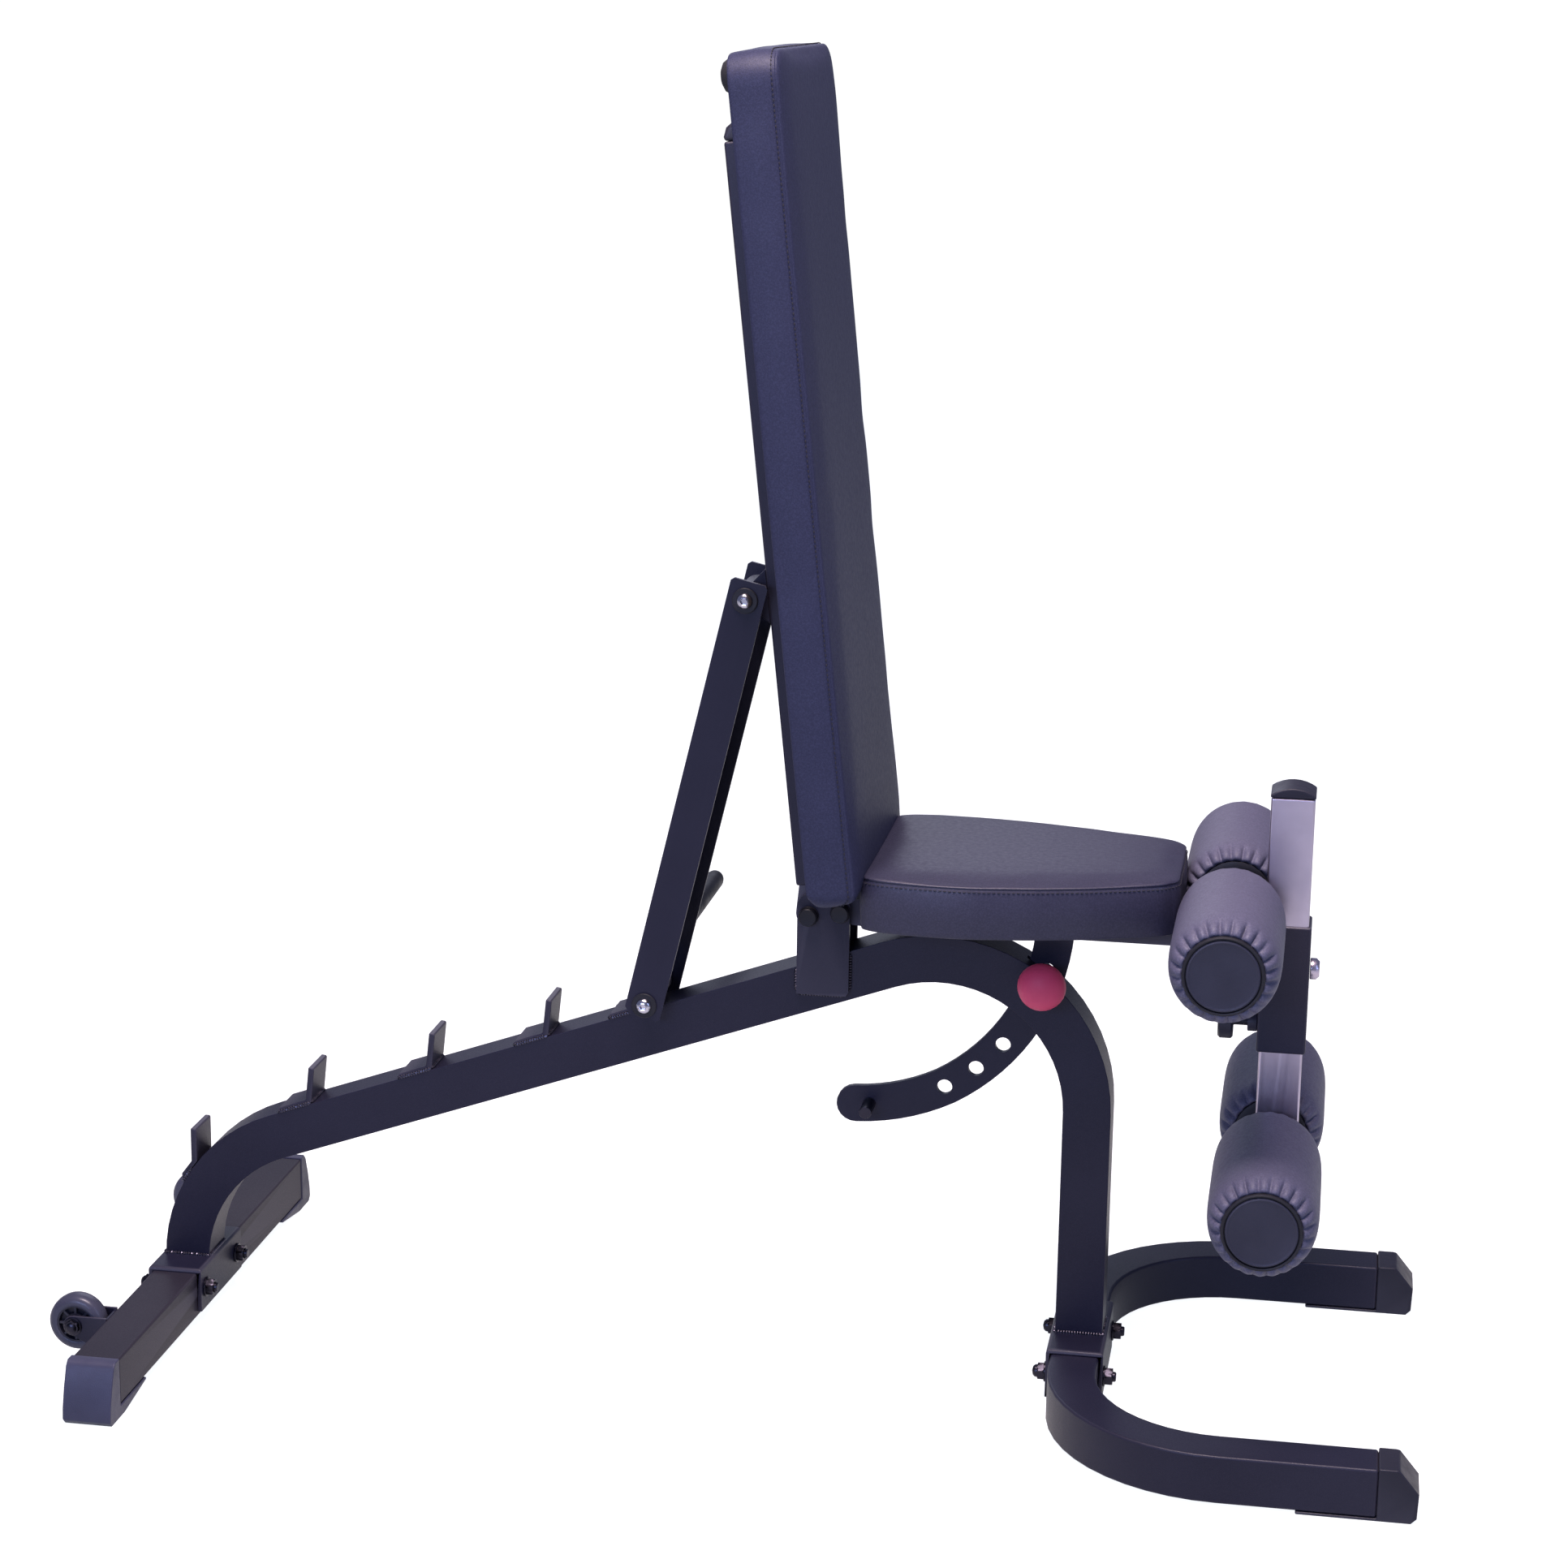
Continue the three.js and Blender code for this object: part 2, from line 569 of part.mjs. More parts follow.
const web = [
  [-sh, 52], [-sh + STRUT_WALL, 52], [-sh + STRUT_WALL, strutLength - 26], [-sh, strutLength - 26],
].map((p) => onStrut(p[0], p[1]));
const flangeHoles = [STRUT_TOP, STRUT_FOOT].map((p) => rodY(p[0], p[1], HOLE_R, -60, 60, 16));
piece(
  "strut_channel",
  cut(
    join(
      plateXZ(flange, -STRUT_OUT, -STRUT_OUT + STRUT_WALL),
      plateXZ(flange, STRUT_OUT - STRUT_WALL, STRUT_OUT),
      plateXZ(web, -STRUT_OUT + 0.5, STRUT_OUT - 0.5),
    ),
    ...flangeHoles,
  ),
  frameBlack(),
);
const headOut = STRUT_OUT + GAP;
const buttonHead = (y, sign) => [
  [BOLT_R, y], [12, y], [12, y + sign * 1.8], [7.5, y + sign * 2], [5, y + sign * 6.5], [0, y + sign * 7],
];
piece(
  "strut_upper_bolt",
  turnedY([...buttonHead(-headOut, -1).reverse(), ...buttonHead(headOut, 1)], STRUT_TOP[0], STRUT_TOP[1], 20),
  steel(),
);
const stub = STRUT_OUT - STRUT_WALL - 0.2;
piece(
  "strut_pin_near",
  turnedY([...buttonHead(-headOut, -1).reverse(), [BOLT_R, -stub], [0, -stub]], STRUT_FOOT[0], STRUT_FOOT[1], 20),
  steel(),
);
piece(
  "strut_pin_far",
  turnedY([[0, stub], [BOLT_R, stub], ...buttonHead(headOut, 1)], STRUT_FOOT[0], STRUT_FOOT[1], 20),
  steel(),
);
const handleAt = onStrut(6, 62);
piece(
  "lift_handle",
  turnedY(
    [[0, headOut], [6.5, headOut], [6.5, 201], [5, 204.5], [2.5, 206], [0, 206.4]],
    handleAt[0], handleAt[1], 16,
  ),
  plastic(),
);

// ---- seat ----
const seatArm = plateXZ(
  [
    [-188, SEAT_TUBE.top], ...arc(SEAT_PIVOT, 13.5, deg(75), deg(285), 14), [-188, SEAT_TUBE.bottom],
  ],
  -SEAT_TUBE.half,
  SEAT_TUBE.half,
);
piece(
  "seat_frame_tube",
  cut(
    join(
      cut(
        box(-189, SEAT_TUBE.end, -SEAT_TUBE.half, SEAT_TUBE.half, SEAT_TUBE.bottom, SEAT_TUBE.top),
        box(
          -176, SEAT_TUBE.end + 1, -SEAT_TUBE.half + WALL, SEAT_TUBE.half - WALL,
          SEAT_TUBE.bottom + WALL, SEAT_TUBE.top - WALL,
        ),
      ),
      seatArm,
    ),
    rodY(SEAT_PIVOT[0], SEAT_PIVOT[1], HOLE_R, -30, 30, 16),
  ),
  frameBlack(),
);

// The seat's plan: widest behind the middle, narrow at the front.
function seatPlan(inset) {
  const rear = SEAT_REAR + inset;
  const front = SEAT_FRONT - inset;
  const right = [
    [rear, 117 - inset], [rear + 12, 127 - inset], [rear + 45, 130.5 - inset], [-82, 130.5 - inset],
    [-30, 122 - inset], [20, 108.5 - inset], [70, 89 - inset], [front - 8, 75 - inset], [front, 66 - inset],
  ];
  const left = right.map((p) => [p[0], -p[1]]).reverse();
  return [...left, ...right];
}
const seatBoardTop = SEAT_BOTTOM + BOARD - 1;
piece("seat_board", plateXY(seatPlan(7).reverse(), SEAT_BOTTOM, seatBoardTop), wood());
const rearEase = plateXZ(
  [
    [SEAT_REAR - 5, 472], [SEAT_REAR, 474], [SEAT_REAR + 38, SEAT_TOP],
    [SEAT_REAR + 38, SEAT_TOP + 5], [SEAT_REAR - 5, SEAT_TOP + 5],
  ],
  -150,
  150,
);
piece(
  "seat_pad",
  cut(plateXY(seatPlan(0).reverse(), seatBoardTop + GAP, SEAT_TOP), rearEase),
  vinyl(),
);

// The adjuster: a curved plate about the seat pivot, with a row of holes and a stop stud.
// Past the last hole the plate curls in a little more tightly.
const arcStart = (r) => Math.asin((SEAT_TUBE.bottom - GAP - SEAT_PIVOT[1]) / r);
const arcEnd = deg(ARC.end);
const arcInset = (a) => ARC.inset * Math.max(0, (a - deg(ARC.bend)) / (arcEnd - deg(ARC.bend)));
const arcEdge = (r) => Array.from({ length: 23 }, (_, i) => {
  const a = arcStart(r) + ((arcEnd - arcStart(r)) * i) / 22;
  return polar(SEAT_PIVOT, r - arcInset(a), a);
});
const endCentre = polar(SEAT_PIVOT, ARC.hole - ARC.inset, arcEnd);
const arcHoles = ARC_HOLES.map((a) => {
  const at = polar(SEAT_PIVOT, ARC.hole, deg(a));
  return rodY(at[0], at[1], ARC.holeR, -10, 10, 18);
});
piece(
  "seat_arc_plate",
  cut(
    plateXZ(
      [
        ...arcEdge(ARC.outer),
        ...arc(endCentre, (ARC.outer - ARC.inner) / 2, arcEnd, arcEnd - Math.PI, 10).slice(1, -1),
        ...arcEdge(ARC.inner).reverse(),
      ],
      -ARC.thick / 2,
      ARC.thick / 2,
    ),
    ...arcHoles,
  ),
  frameBlack(),
);
const studAt = polar(SEAT_PIVOT, ARC.hole - arcInset(deg(STUD.angle)), deg(STUD.angle));
piece("seat_stop_stud", rodY(studAt[0], studAt[1], STUD.r, STUD.end, -ARC.thick / 2 - GAP, 16), steel());

// ---- leg hold-down ----
const sx0 = SLEEVE.x - HALF;
const sx1 = SLEEVE.x + HALF;
piece(
  "leg_sleeve",
  cut(
    box(sx0, sx1, -HALF, HALF, SLEEVE.bottom, SLEEVE.top),
    box(
      SLEEVE.x - SLEEVE.inner, SLEEVE.x + SLEEVE.inner, -SLEEVE.inner, SLEEVE.inner,
      SLEEVE.bottom - 1, SLEEVE.top + 20,
    ),
  ),
  frameBlack(),
);
piece(
  "leg_clamp_screw",
  turnedX([[0, sx1 + GAP], [10, sx1 + GAP], [10, sx1 + 6], [7, sx1 + 9], [0, sx1 + 9]], 0, CLAMP_Z, 16),
  chrome(),
);
const pinX = sx0 - GAP;
piece(
  "leg_pin_housing",
  cut(rodX(0, LEG_PIN_Z, 9, pinX - 9, pinX, 20), rodX(0, LEG_PIN_Z, 4.6, pinX - 20, pinX + 5, 16)),
  frameBlack(),
);
piece(
  "leg_pin",
  turnedX(
    [
      [0, pinX - 36], [15, pinX - 36], [17, pinX - 34], [17, pinX - 24], [15, pinX - 22],
      [4, pinX - 22], [4, pinX - GAP], [0, pinX - GAP],
    ],
    0, LEG_PIN_Z, 24,
  ),
  plastic(),
);
piece(
  "leg_tube",
  cut(
    box(SLEEVE.x - LEG.half, SLEEVE.x + LEG.half, -LEG.half, LEG.half, LEG.bottom, LEG.top),
    box(
      SLEEVE.x - LEG.half + LEG.wall, SLEEVE.x + LEG.half - LEG.wall,
      -LEG.half + LEG.wall, LEG.half - LEG.wall, LEG.bottom - 1, LEG.top + 1,
    ),
    rodY(LOWER_AXLE[0], LOWER_AXLE[1], ROLLER.axle + 0.4, -30, 30, 24),
  ),
  chrome(),
);
const capProfile = [
  ...arc([SLEEVE.x, LEG.top - 26.1], 35.6, deg(54.84), deg(125.16), 8),
  [SLEEVE.x - LEG.half - 0.6, LEG.top + GAP], [SLEEVE.x + LEG.half + 0.6, LEG.top + GAP],
];
piece("leg_tube_cap", plateXZ(capProfile, -LEG.half - 0.6, LEG.half + 0.6), plastic());
const axleRod = (at) => rodY(at[0], at[1], ROLLER.axle, -ROLLER.end + 4, ROLLER.end - 4, 24);
piece("upper_axle", axleRod(UPPER_AXLE), frameBlack());
piece("lower_axle", axleRod(LOWER_AXLE), frameBlack());

// Foam rollers, closed at the outer end over the axle.
for (const [level, at] of [["upper", UPPER_AXLE], ["lower", LOWER_AXLE]]) {
  for (const [side, sign] of sides) {
    const profile = [
      [ROLLER.bore, ROLLER.start], [35, ROLLER.start], [44, ROLLER.start + 5], [ROLLER.r, ROLLER.start + 20],
      [ROLLER.r, ROLLER.end - 20], [44, ROLLER.end - 5], [35, ROLLER.end], [0, ROLLER.end],
      [0, ROLLER.end - 3], [ROLLER.bore, ROLLER.end - 3], [ROLLER.bore, ROLLER.start],
    ].map((p) => [p[0], sign * p[1]]);
    const body = turnedY(sign > 0 ? profile : profile.reverse(), at[0], at[1], 28);
    piece(`${level}_roller_${side}`, body, vinyl());
  }
}

// The exported origin is the centre of the footprint, on the floor.
bench.position.x = -(WHEEL.x - WHEEL.r + FOOT_CAP_FRONT) / 2;
bench.updateMatrixWorld(true);

export default bench;
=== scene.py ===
# Looks of the adjustable weight bench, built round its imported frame.
# Lengths in the make-up of a piece are millimetres with X zero on the rear face of the front post.
import json
import math
import random

import bmesh
import bpy
from mathutils import Matrix, Vector

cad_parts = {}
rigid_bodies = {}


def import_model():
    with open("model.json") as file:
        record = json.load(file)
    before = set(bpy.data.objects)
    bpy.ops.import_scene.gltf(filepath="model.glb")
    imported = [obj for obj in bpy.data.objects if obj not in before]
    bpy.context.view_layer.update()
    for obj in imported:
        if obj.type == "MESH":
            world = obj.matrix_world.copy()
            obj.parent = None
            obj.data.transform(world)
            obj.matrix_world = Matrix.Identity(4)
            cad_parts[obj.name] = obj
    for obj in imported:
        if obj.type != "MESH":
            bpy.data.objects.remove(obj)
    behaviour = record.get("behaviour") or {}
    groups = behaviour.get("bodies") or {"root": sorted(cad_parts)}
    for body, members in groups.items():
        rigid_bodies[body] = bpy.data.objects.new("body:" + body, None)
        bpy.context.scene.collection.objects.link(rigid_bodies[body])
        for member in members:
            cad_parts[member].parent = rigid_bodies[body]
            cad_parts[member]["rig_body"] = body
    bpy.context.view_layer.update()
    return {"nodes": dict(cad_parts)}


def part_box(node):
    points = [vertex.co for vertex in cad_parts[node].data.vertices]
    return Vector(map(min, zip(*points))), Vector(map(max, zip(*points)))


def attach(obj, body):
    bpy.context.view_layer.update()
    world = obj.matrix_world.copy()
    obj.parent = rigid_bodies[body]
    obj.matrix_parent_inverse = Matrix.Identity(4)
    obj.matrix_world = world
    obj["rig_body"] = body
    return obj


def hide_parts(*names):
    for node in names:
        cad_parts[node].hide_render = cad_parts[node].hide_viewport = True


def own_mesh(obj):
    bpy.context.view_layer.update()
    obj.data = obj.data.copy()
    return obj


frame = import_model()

scene = bpy.context.scene
TUBE = 45.0
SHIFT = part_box("main_rail")[1].x - TUBE / 1000
LEAN = math.radians(6.31)
NEAR, FAR = ("near", -1), ("far", 1)


def P(x, y, z):
    """A place in the scene, from millimetres in front of the post's rear face, across and up."""
    return Vector((x / 1000 + SHIFT, y / 1000, z / 1000))


def on_back(n, s, y=0.0):
    """A point of the back rest: n in front of its rear line, s along it, y across."""
    return P(n * math.cos(LEAN) - s * math.sin(LEAN), y, n * math.sin(LEAN) + s * math.cos(LEAN))


# ---------------------------------------------------------------- materials
def material(name, base, rough, metal=0.0, **sockets):
    m = bpy.data.materials.new(name)
    m.use_nodes = True
    b = m.node_tree.nodes["Principled BSDF"]
    b.inputs["Base Color"].default_value = (*base, 1)
    b.inputs["Roughness"].default_value = rough
    b.inputs["Metallic"].default_value = metal
    for k, v in sockets.items():
        b.inputs[k.replace("_", " ")].default_value = v
    return m


class Nodes:
    """Short names for the nodes of one material."""

    def __init__(self, m):
        self.t = m.node_tree
        self.b = self.t.nodes["Principled BSDF"]
        self.co = self.add("ShaderNodeTexCoord").outputs["Object"]

    def add(self, kind, **attrs):
        n = self.t.nodes.new(kind)
        for k, v in attrs.items():
            setattr(n, k, v)
        return n

    def link(self, a, b):
        self.t.links.new(a, b)

    def noise(self, scale, detail=3.0, rough=0.55, co=None, distortion=0.0):
        n = self.add("ShaderNodeTexNoise")
        n.inputs["Scale"].default_value = scale
        n.inputs["Detail"].default_value = detail
        n.inputs["Roughness"].default_value = rough
        n.inputs["Distortion"].default_value = distortion
        self.link(co or self.co, n.inputs["Vector"])
        return n.outputs["Fac"]

    def cells(self, scale):
        n = self.add("ShaderNodeTexVoronoi", feature="F1")
        n.inputs["Scale"].default_value = scale
        self.link(self.co, n.inputs["Vector"])
        return n.outputs["Distance"]

    def ramp(self, fac, stops):
        n = self.add("ShaderNodeValToRGB")
        r = n.color_ramp
        while len(r.elements) < len(stops):
            r.elements.new(0.5)
        for e, (at, c) in zip(r.elements, stops):
            e.position = at
            e.color = (*c, 1) if hasattr(c, "__len__") else (c, c, c, 1)
        self.link(fac, n.inputs["Fac"])
        return n.outputs["Color"]

    def mix(self, fac, a, b):
        n = self.add("ShaderNodeMix", data_type="RGBA", blend_type="MIX")
        for sock, v in ((n.inputs[0], fac), (n.inputs[6], a), (n.inputs[7], b)):
            if hasattr(v, "is_linked"):
                self.link(v, sock)
            else:
                sock.default_value = (*v, 1) if hasattr(v, "__len__") else v
        return n.outputs[2]

    def math(self, how, a, b):
        n = self.add("ShaderNodeMath", operation=how)
        for sock, v in zip(n.inputs, (a, b)):
            if hasattr(v, "is_linked"):
                self.link(v, sock)
            else:
                sock.default_value = v
        return n.outputs[0]

    def bump(self, height, strength, distance, under=None):
        n = self.add("ShaderNodeBump")
        n.inputs["Strength"].default_value = strength
        n.inputs["Distance"].default_value = distance
        self.link(height, n.inputs["Height"])
        if under:
            self.link(under, n.inputs["Normal"])
        return n.outputs["Normal"]

    def worn_and_lit_edges(self, low, high):
        """White on outward edges: a mask for edge wear and for a painted highlight along the edges."""
        g = self.add("ShaderNodeNewGeometry").outputs["Pointiness"]
        return self.ramp(g, ((low, 0.0), (high, 1.0)))


def powder_coat(name, gloss, dark, light):
    """Fine-textured black paint, lighter on its edges, partly as edge wear and partly as a painted highlight.
    """
    m = material(name, dark, 0.45, Specular_IOR_Level=gloss, Specular_Tint=(0.78, 0.82, 1.0, 1))
    n = Nodes(m)
    cloud = n.noise(9, 3)
    fine = n.noise(950, 2, 0.6)
    grit = n.noise(2600, 1, 0.5)
    tone = n.mix(n.ramp(cloud, ((0.35, 0.0), (0.7, 1.0))), dark, light)
    tone = n.mix(n.ramp(grit, ((0.45, 0.0), (0.75, 0.5))), tone, (0.022, 0.021, 0.04))
    # Paler edges: partly edge wear, partly a painted highlight along the bevels.
    tone = n.mix(n.worn_and_lit_edges(0.53, 0.6), tone, (0.06, 0.058, 0.085))
    n.link(tone, n.b.inputs["Base Color"])
    n.link(n.ramp(fine, ((0.3, 0.34), (0.7, 0.46))), n.b.inputs["Roughness"])
    n.link(n.bump(fine, 0.16, 0.0003, n.bump(grit, 0.1, 0.0002)), n.b.inputs["Normal"])
    return m


def vinyl(name, base, light, gloss=0.36, rough=(0.4, 0.52)):
    """Upholstery vinyl with a small cell grain and light specks."""
    m = material(name, base, 0.45, Specular_IOR_Level=gloss, Specular_Tint=(0.85, 0.88, 1.0, 1))
    n = Nodes(m)
    grain = n.cells(760)
    soft = n.noise(1500, 2)
    cloud = n.noise(7, 3)
    speck = n.noise(640, 2, 0.6)
    tone = n.mix(n.ramp(cloud, ((0.2, 0.0), (0.85, 0.7))), base, light)
    tone = n.mix(n.ramp(speck, ((0.4, 0.0), (0.7, 0.6))), tone, tuple(c * 1.5 for c in light))
    tone = n.mix(n.ramp(grain, ((0.0, 0.35), (0.45, 0.0))), tone, tuple(c * 0.7 for c in base))
    n.link(tone, n.b.inputs["Base Color"])
    n.link(n.ramp(n.noise(220, 3), ((0.3, rough[0]), (0.75, rough[1]))), n.b.inputs["Roughness"])
    n.link(n.bump(grain, 0.2, 0.0003, n.bump(soft, 0.1, 0.0002)), n.b.inputs["Normal"])
    return m


def plastic(name, base, rough, grain=0.2, light=None):
    """Moulded plastic or rubber with a fine grain and paler edges, the paler edges partly wear and partly a
    painted highlight.
    """
    m = material(name, base, rough, Specular_IOR_Level=0.3, Specular_Tint=(0.82, 0.86, 1.0, 1))
    n = Nodes(m)
    cloud = n.noise(14, 3)
    fine = n.noise(1300, 2, 0.6)
    light = light or tuple(min(1, c * 1.35 + 0.002) for c in base)
    tone = n.mix(n.ramp(cloud, ((0.35, 0.0), (0.7, 1.0))), base, light)
    # Paler edges: partly edge wear, partly a painted highlight.
    tone = n.mix(n.worn_and_lit_edges(0.53, 0.62), tone, tuple(min(1, c * 1.8 + 0.01) for c in base))
    n.link(tone, n.b.inputs["Base Color"])
    wear = n.ramp(n.noise(70, 3), ((0.3, max(0.0, rough - 0.07)), (0.7, rough + 0.07)))
    n.link(wear, n.b.inputs["Roughness"])
    n.link(n.bump(fine, grain, 0.0003), n.b.inputs["Normal"])
    return m


def metal(name, base, rough, streak=(1, 1, 1), brushed=0.16):
    """Bare or plated metal with brush marks, drawn out along one axis by streak."""
    m = material(name, base, rough, 1.0)
    n = Nodes(m)
    mapping = n.add("ShaderNodeMapping")
    mapping.inputs["Scale"].default_value = streak
    n.link(n.co, mapping.inputs["Vector"])
    brush = n.noise(240, 4, 0.6, mapping.outputs["Vector"])
    smudge = n.noise(24, 3)
    tone = n.mix(n.ramp(smudge, ((0.35, 0.0), (0.7, 1.0))), base, tuple(c * 0.86 for c in base))
    n.link(tone, n.b.inputs["Base Color"])
    both = n.math("ADD", n.math("MULTIPLY", brush, brushed), n.math("MULTIPLY", smudge, 0.14))
    n.link(n.math("ADD", both, rough - 0.15), n.b.inputs["Roughness"])
    n.link(n.bump(brush, brushed / 3, 0.0002), n.b.inputs["Normal"])
    return m


def plywood():
    m = material("plywood", (0.1, 0.065, 0.04), 0.75)
    n = Nodes(m)
    mapping = n.add("ShaderNodeMapping")
    mapping.inputs["Scale"].default_value = (3, 30, 3)
    n.link(n.co, mapping.inputs["Vector"])
    grain = n.noise(9, 6, 0.6, mapping.outputs["Vector"], 1.2)
    pores = n.noise(420, 2)
    tone = n.mix(n.ramp(grain, ((0.3, 0.0), (0.7, 1.0))), (0.06, 0.04, 0.026), (0.15, 0.1, 0.062))
    tone = n.mix(n.ramp(pores, ((0.55, 0.0), (0.72, 0.6))), tone, (0.03, 0.02, 0.014))
    n.link(tone, n.b.inputs["Base Color"])
    n.link(n.bump(grain, 0.25, 0.0006), n.b.inputs["Normal"])
    return m


POWDER = powder_coat("powder_coat", 0.26, (0.0064, 0.0064, 0.018), (0.0092, 0.0092, 0.0235))
# A warmer, paler copy of the black powder coat for the rear cross tube: its warm tint is painted warm light
# from above.
REAR_WARM_LIT_POWDER = powder_coat("rear_warm_lit_powder_coat", 0.1, (0.009, 0.0078, 0.0135), (0.014, 0.0122, 0.019))
BACK_VINYL = vinyl("back_vinyl", (0.0165, 0.0187, 0.0455), (0.021, 0.0235, 0.055), 0.2, (0.48, 0.58))
# A warmer copy of the upholstery vinyl for the seat: its warm tint is painted warm light from above.
SEAT_WARM_LIT_VINYL = vinyl("seat_warm_lit_vinyl", (0.0175, 0.018, 0.039), (0.023, 0.0225, 0.046))
# A paler, warmer copy of the upholstery vinyl for the roller covers: the extra lightness is painted light on
# the rollers.
ROLLER_LIT_VINYL = vinyl("roller_vinyl", (0.056, 0.057, 0.1), (0.072, 0.072, 0.124), 0.3, (0.5, 0.62))
THREAD = plastic("thread", (0.006, 0.006, 0.011), 0.8, 0.4)
BLACK = plastic("black_plastic", (0.0085, 0.0085, 0.017), 0.42, 0.25)
# A paler, bluer copy of the black plastic for the rear end caps: the extra lightness is a painted reflection
# of the front lamp.
REAR_CAP_LIT_PLASTIC = plastic("rear_cap_lit_plastic", (0.026, 0.028, 0.056), 0.4, 0.35)
DISC = plastic("disc_plastic", (0.0155, 0.0165, 0.032), 0.42, 0.55)
RIM = plastic("rim_plastic", (0.003, 0.003, 0.006), 0.5, 0.2)
RED = plastic("red_plastic", (0.39, 0.036, 0.095), 0.5, 0.6, (0.46, 0.05, 0.12))
RUBBER = plastic("rubber", (0.01, 0.01, 0.013), 0.7, 0.4)
TYRE = plastic("polyurethane", (0.035, 0.037, 0.062), 0.28, 0.08)
# Chrome with a darkened lavender-pink base: the tint is a painted reflection of coloured surroundings.
REFLECTION_TINTED_CHROME = metal("chrome", (0.53, 0.48, 0.6), 0.36, (1, 1, 0.3), 0.08)
STEEL = metal("zinc_steel", (0.5, 0.51, 0.56), 0.32)
PLY = plywood()
BOLT = metal("black_zinc", (0.035, 0.034, 0.05), 0.3)
DOME = metal("bright_zinc", (0.5, 0.5, 0.6), 0.2)
# Weld beads under the black coat: the paler base is a painted highlight, the gloss comes from the shader.
WELD_HIGHLIGHT = metal("weld_painted_highlight", (0.07, 0.068, 0.1), 0.3)


# ---------------------------------------------------------------- mesh tools
def smooth(me, angle):
    """Smooth shading, with edges sharper than the angle kept crisp."""
    me.shade_smooth()
    if angle < 180:
        me.set_sharp_from_angle(angle=math.radians(angle))


def from_bmesh(name, bm, mat, angle):
    me = bpy.data.meshes.new(name)
    bm.to_mesh(me)
    bm.free()
    ob = bpy.data.objects.new(name, me)
    scene.collection.objects.link(ob)
    me.materials.append(mat)
    smooth(me, angle)
    return ob


def add(name, verts, faces, mat, angle=35):
    bm = bmesh.new()
    vs = [bm.verts.new(v) for v in verts]
    for f in faces:
        bm.faces.new([vs[i] for i in f])
    bmesh.ops.recalc_face_normals(bm, faces=bm.faces)
    return from_bmesh(name, bm, mat, angle)


def bake(ob):
    """Applies an object's modifiers to its mesh."""
    dg = bpy.context.evaluated_depsgraph_get()
    me = bpy.data.meshes.new_from_object(ob.evaluated_get(dg))
    ob.modifiers.clear()
    ob.data = me
    return ob


def give(ob, body, slot, *nodes):
    """Lets a piece move with a body and hides the CAD nodes that it stands for. The slot argument is not
    used.
    """
    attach(ob, body)
    if nodes:
        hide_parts(*nodes)
    return ob


def polish(node, mat, slot, width, segments, test=None, wide=None):
    """A copy of a CAD node with eased edges; test picks the corners that get the wide radius."""
    source = frame["nodes"][node]
    bm = bmesh.new()
    bm.from_mesh(source.data)
    bmesh.ops.remove_doubles(bm, verts=bm.verts, dist=2e-6)
    bmesh.ops.dissolve_limit(bm, angle_limit=math.radians(1.2), verts=bm.verts, edges=bm.edges)

    def sharp(e, least):
        return len(e.link_faces) == 2 and e.calc_face_angle(0) > math.radians(least)

    def ease(picked, radius, steps):
        bmesh.ops.bevel(
            bm, geom=picked, offset=radius / 1000, offset_type="OFFSET", segments=steps, profile=0.5,
            affect="EDGES", clamp_overlap=True,
        )

    if test:
        ease([e for e in bm.edges if sharp(e, 55) and all(test(v.co) for v in e.verts)], wide, 4)
    if width:
        ease([e for e in bm.edges if sharp(e, 50)], width, segments)
    bmesh.ops.triangulate(bm, faces=[f for f in bm.faces if len(f.verts) > 4])
    ob = from_bmesh(node + "_finish", bm, mat, 40)
    ob.modifiers.new("normals", "WEIGHTED_NORMAL").keep_sharp = True
    bake(ob)
    return give(ob, source["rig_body"], slot, node)


def turned(name, profile, mat, centre, axis="Y", segments=32, angle=35, ripple=None):
    """A turned piece: (distance along the axis, radius) pairs from end to end, closed on the axis.
    ripple(radius, distance, turn) may move each point of a ring."""
    verts, faces, rings = [], [], []
    for h, r in profile:
        if r < 1e-6:
            rings.append([len(verts)])
            verts.append((h, 0, 0))
            continue
        ring = []
        for k in range(segments):
            a = 2 * math.pi * k / segments
            rr, hh = ripple(r, h, a) if ripple else (r, h)
            ring.append(len(verts))
            verts.append((hh, rr * math.cos(a), rr * math.sin(a)))
        rings.append(ring)
    for a, b in zip(rings, rings[1:]):
        for k in range(segments):
            j = (k + 1) % segments
            if len(a) == 1:
                faces.append((a[0], b[j], b[k]))
            elif len(b) == 1:
                faces.append((a[k], a[j], b[0]))
            else:
                faces.append((a[k], a[j], b[j], b[k]))
    turn = {
        "X": lambda v: v,
        "Y": lambda v: (v[1], v[0], v[2]),
    }[axis]
    cx, cy, cz = centre
    out = []
    for v in verts:
        x, y, z = turn(v)
        out.append(P(cx + x, cy + y, cz + z))
    return add(name, out, faces, mat, angle)


RIPPLE = 2.6
ROWS_PER_RIPPLE = 3


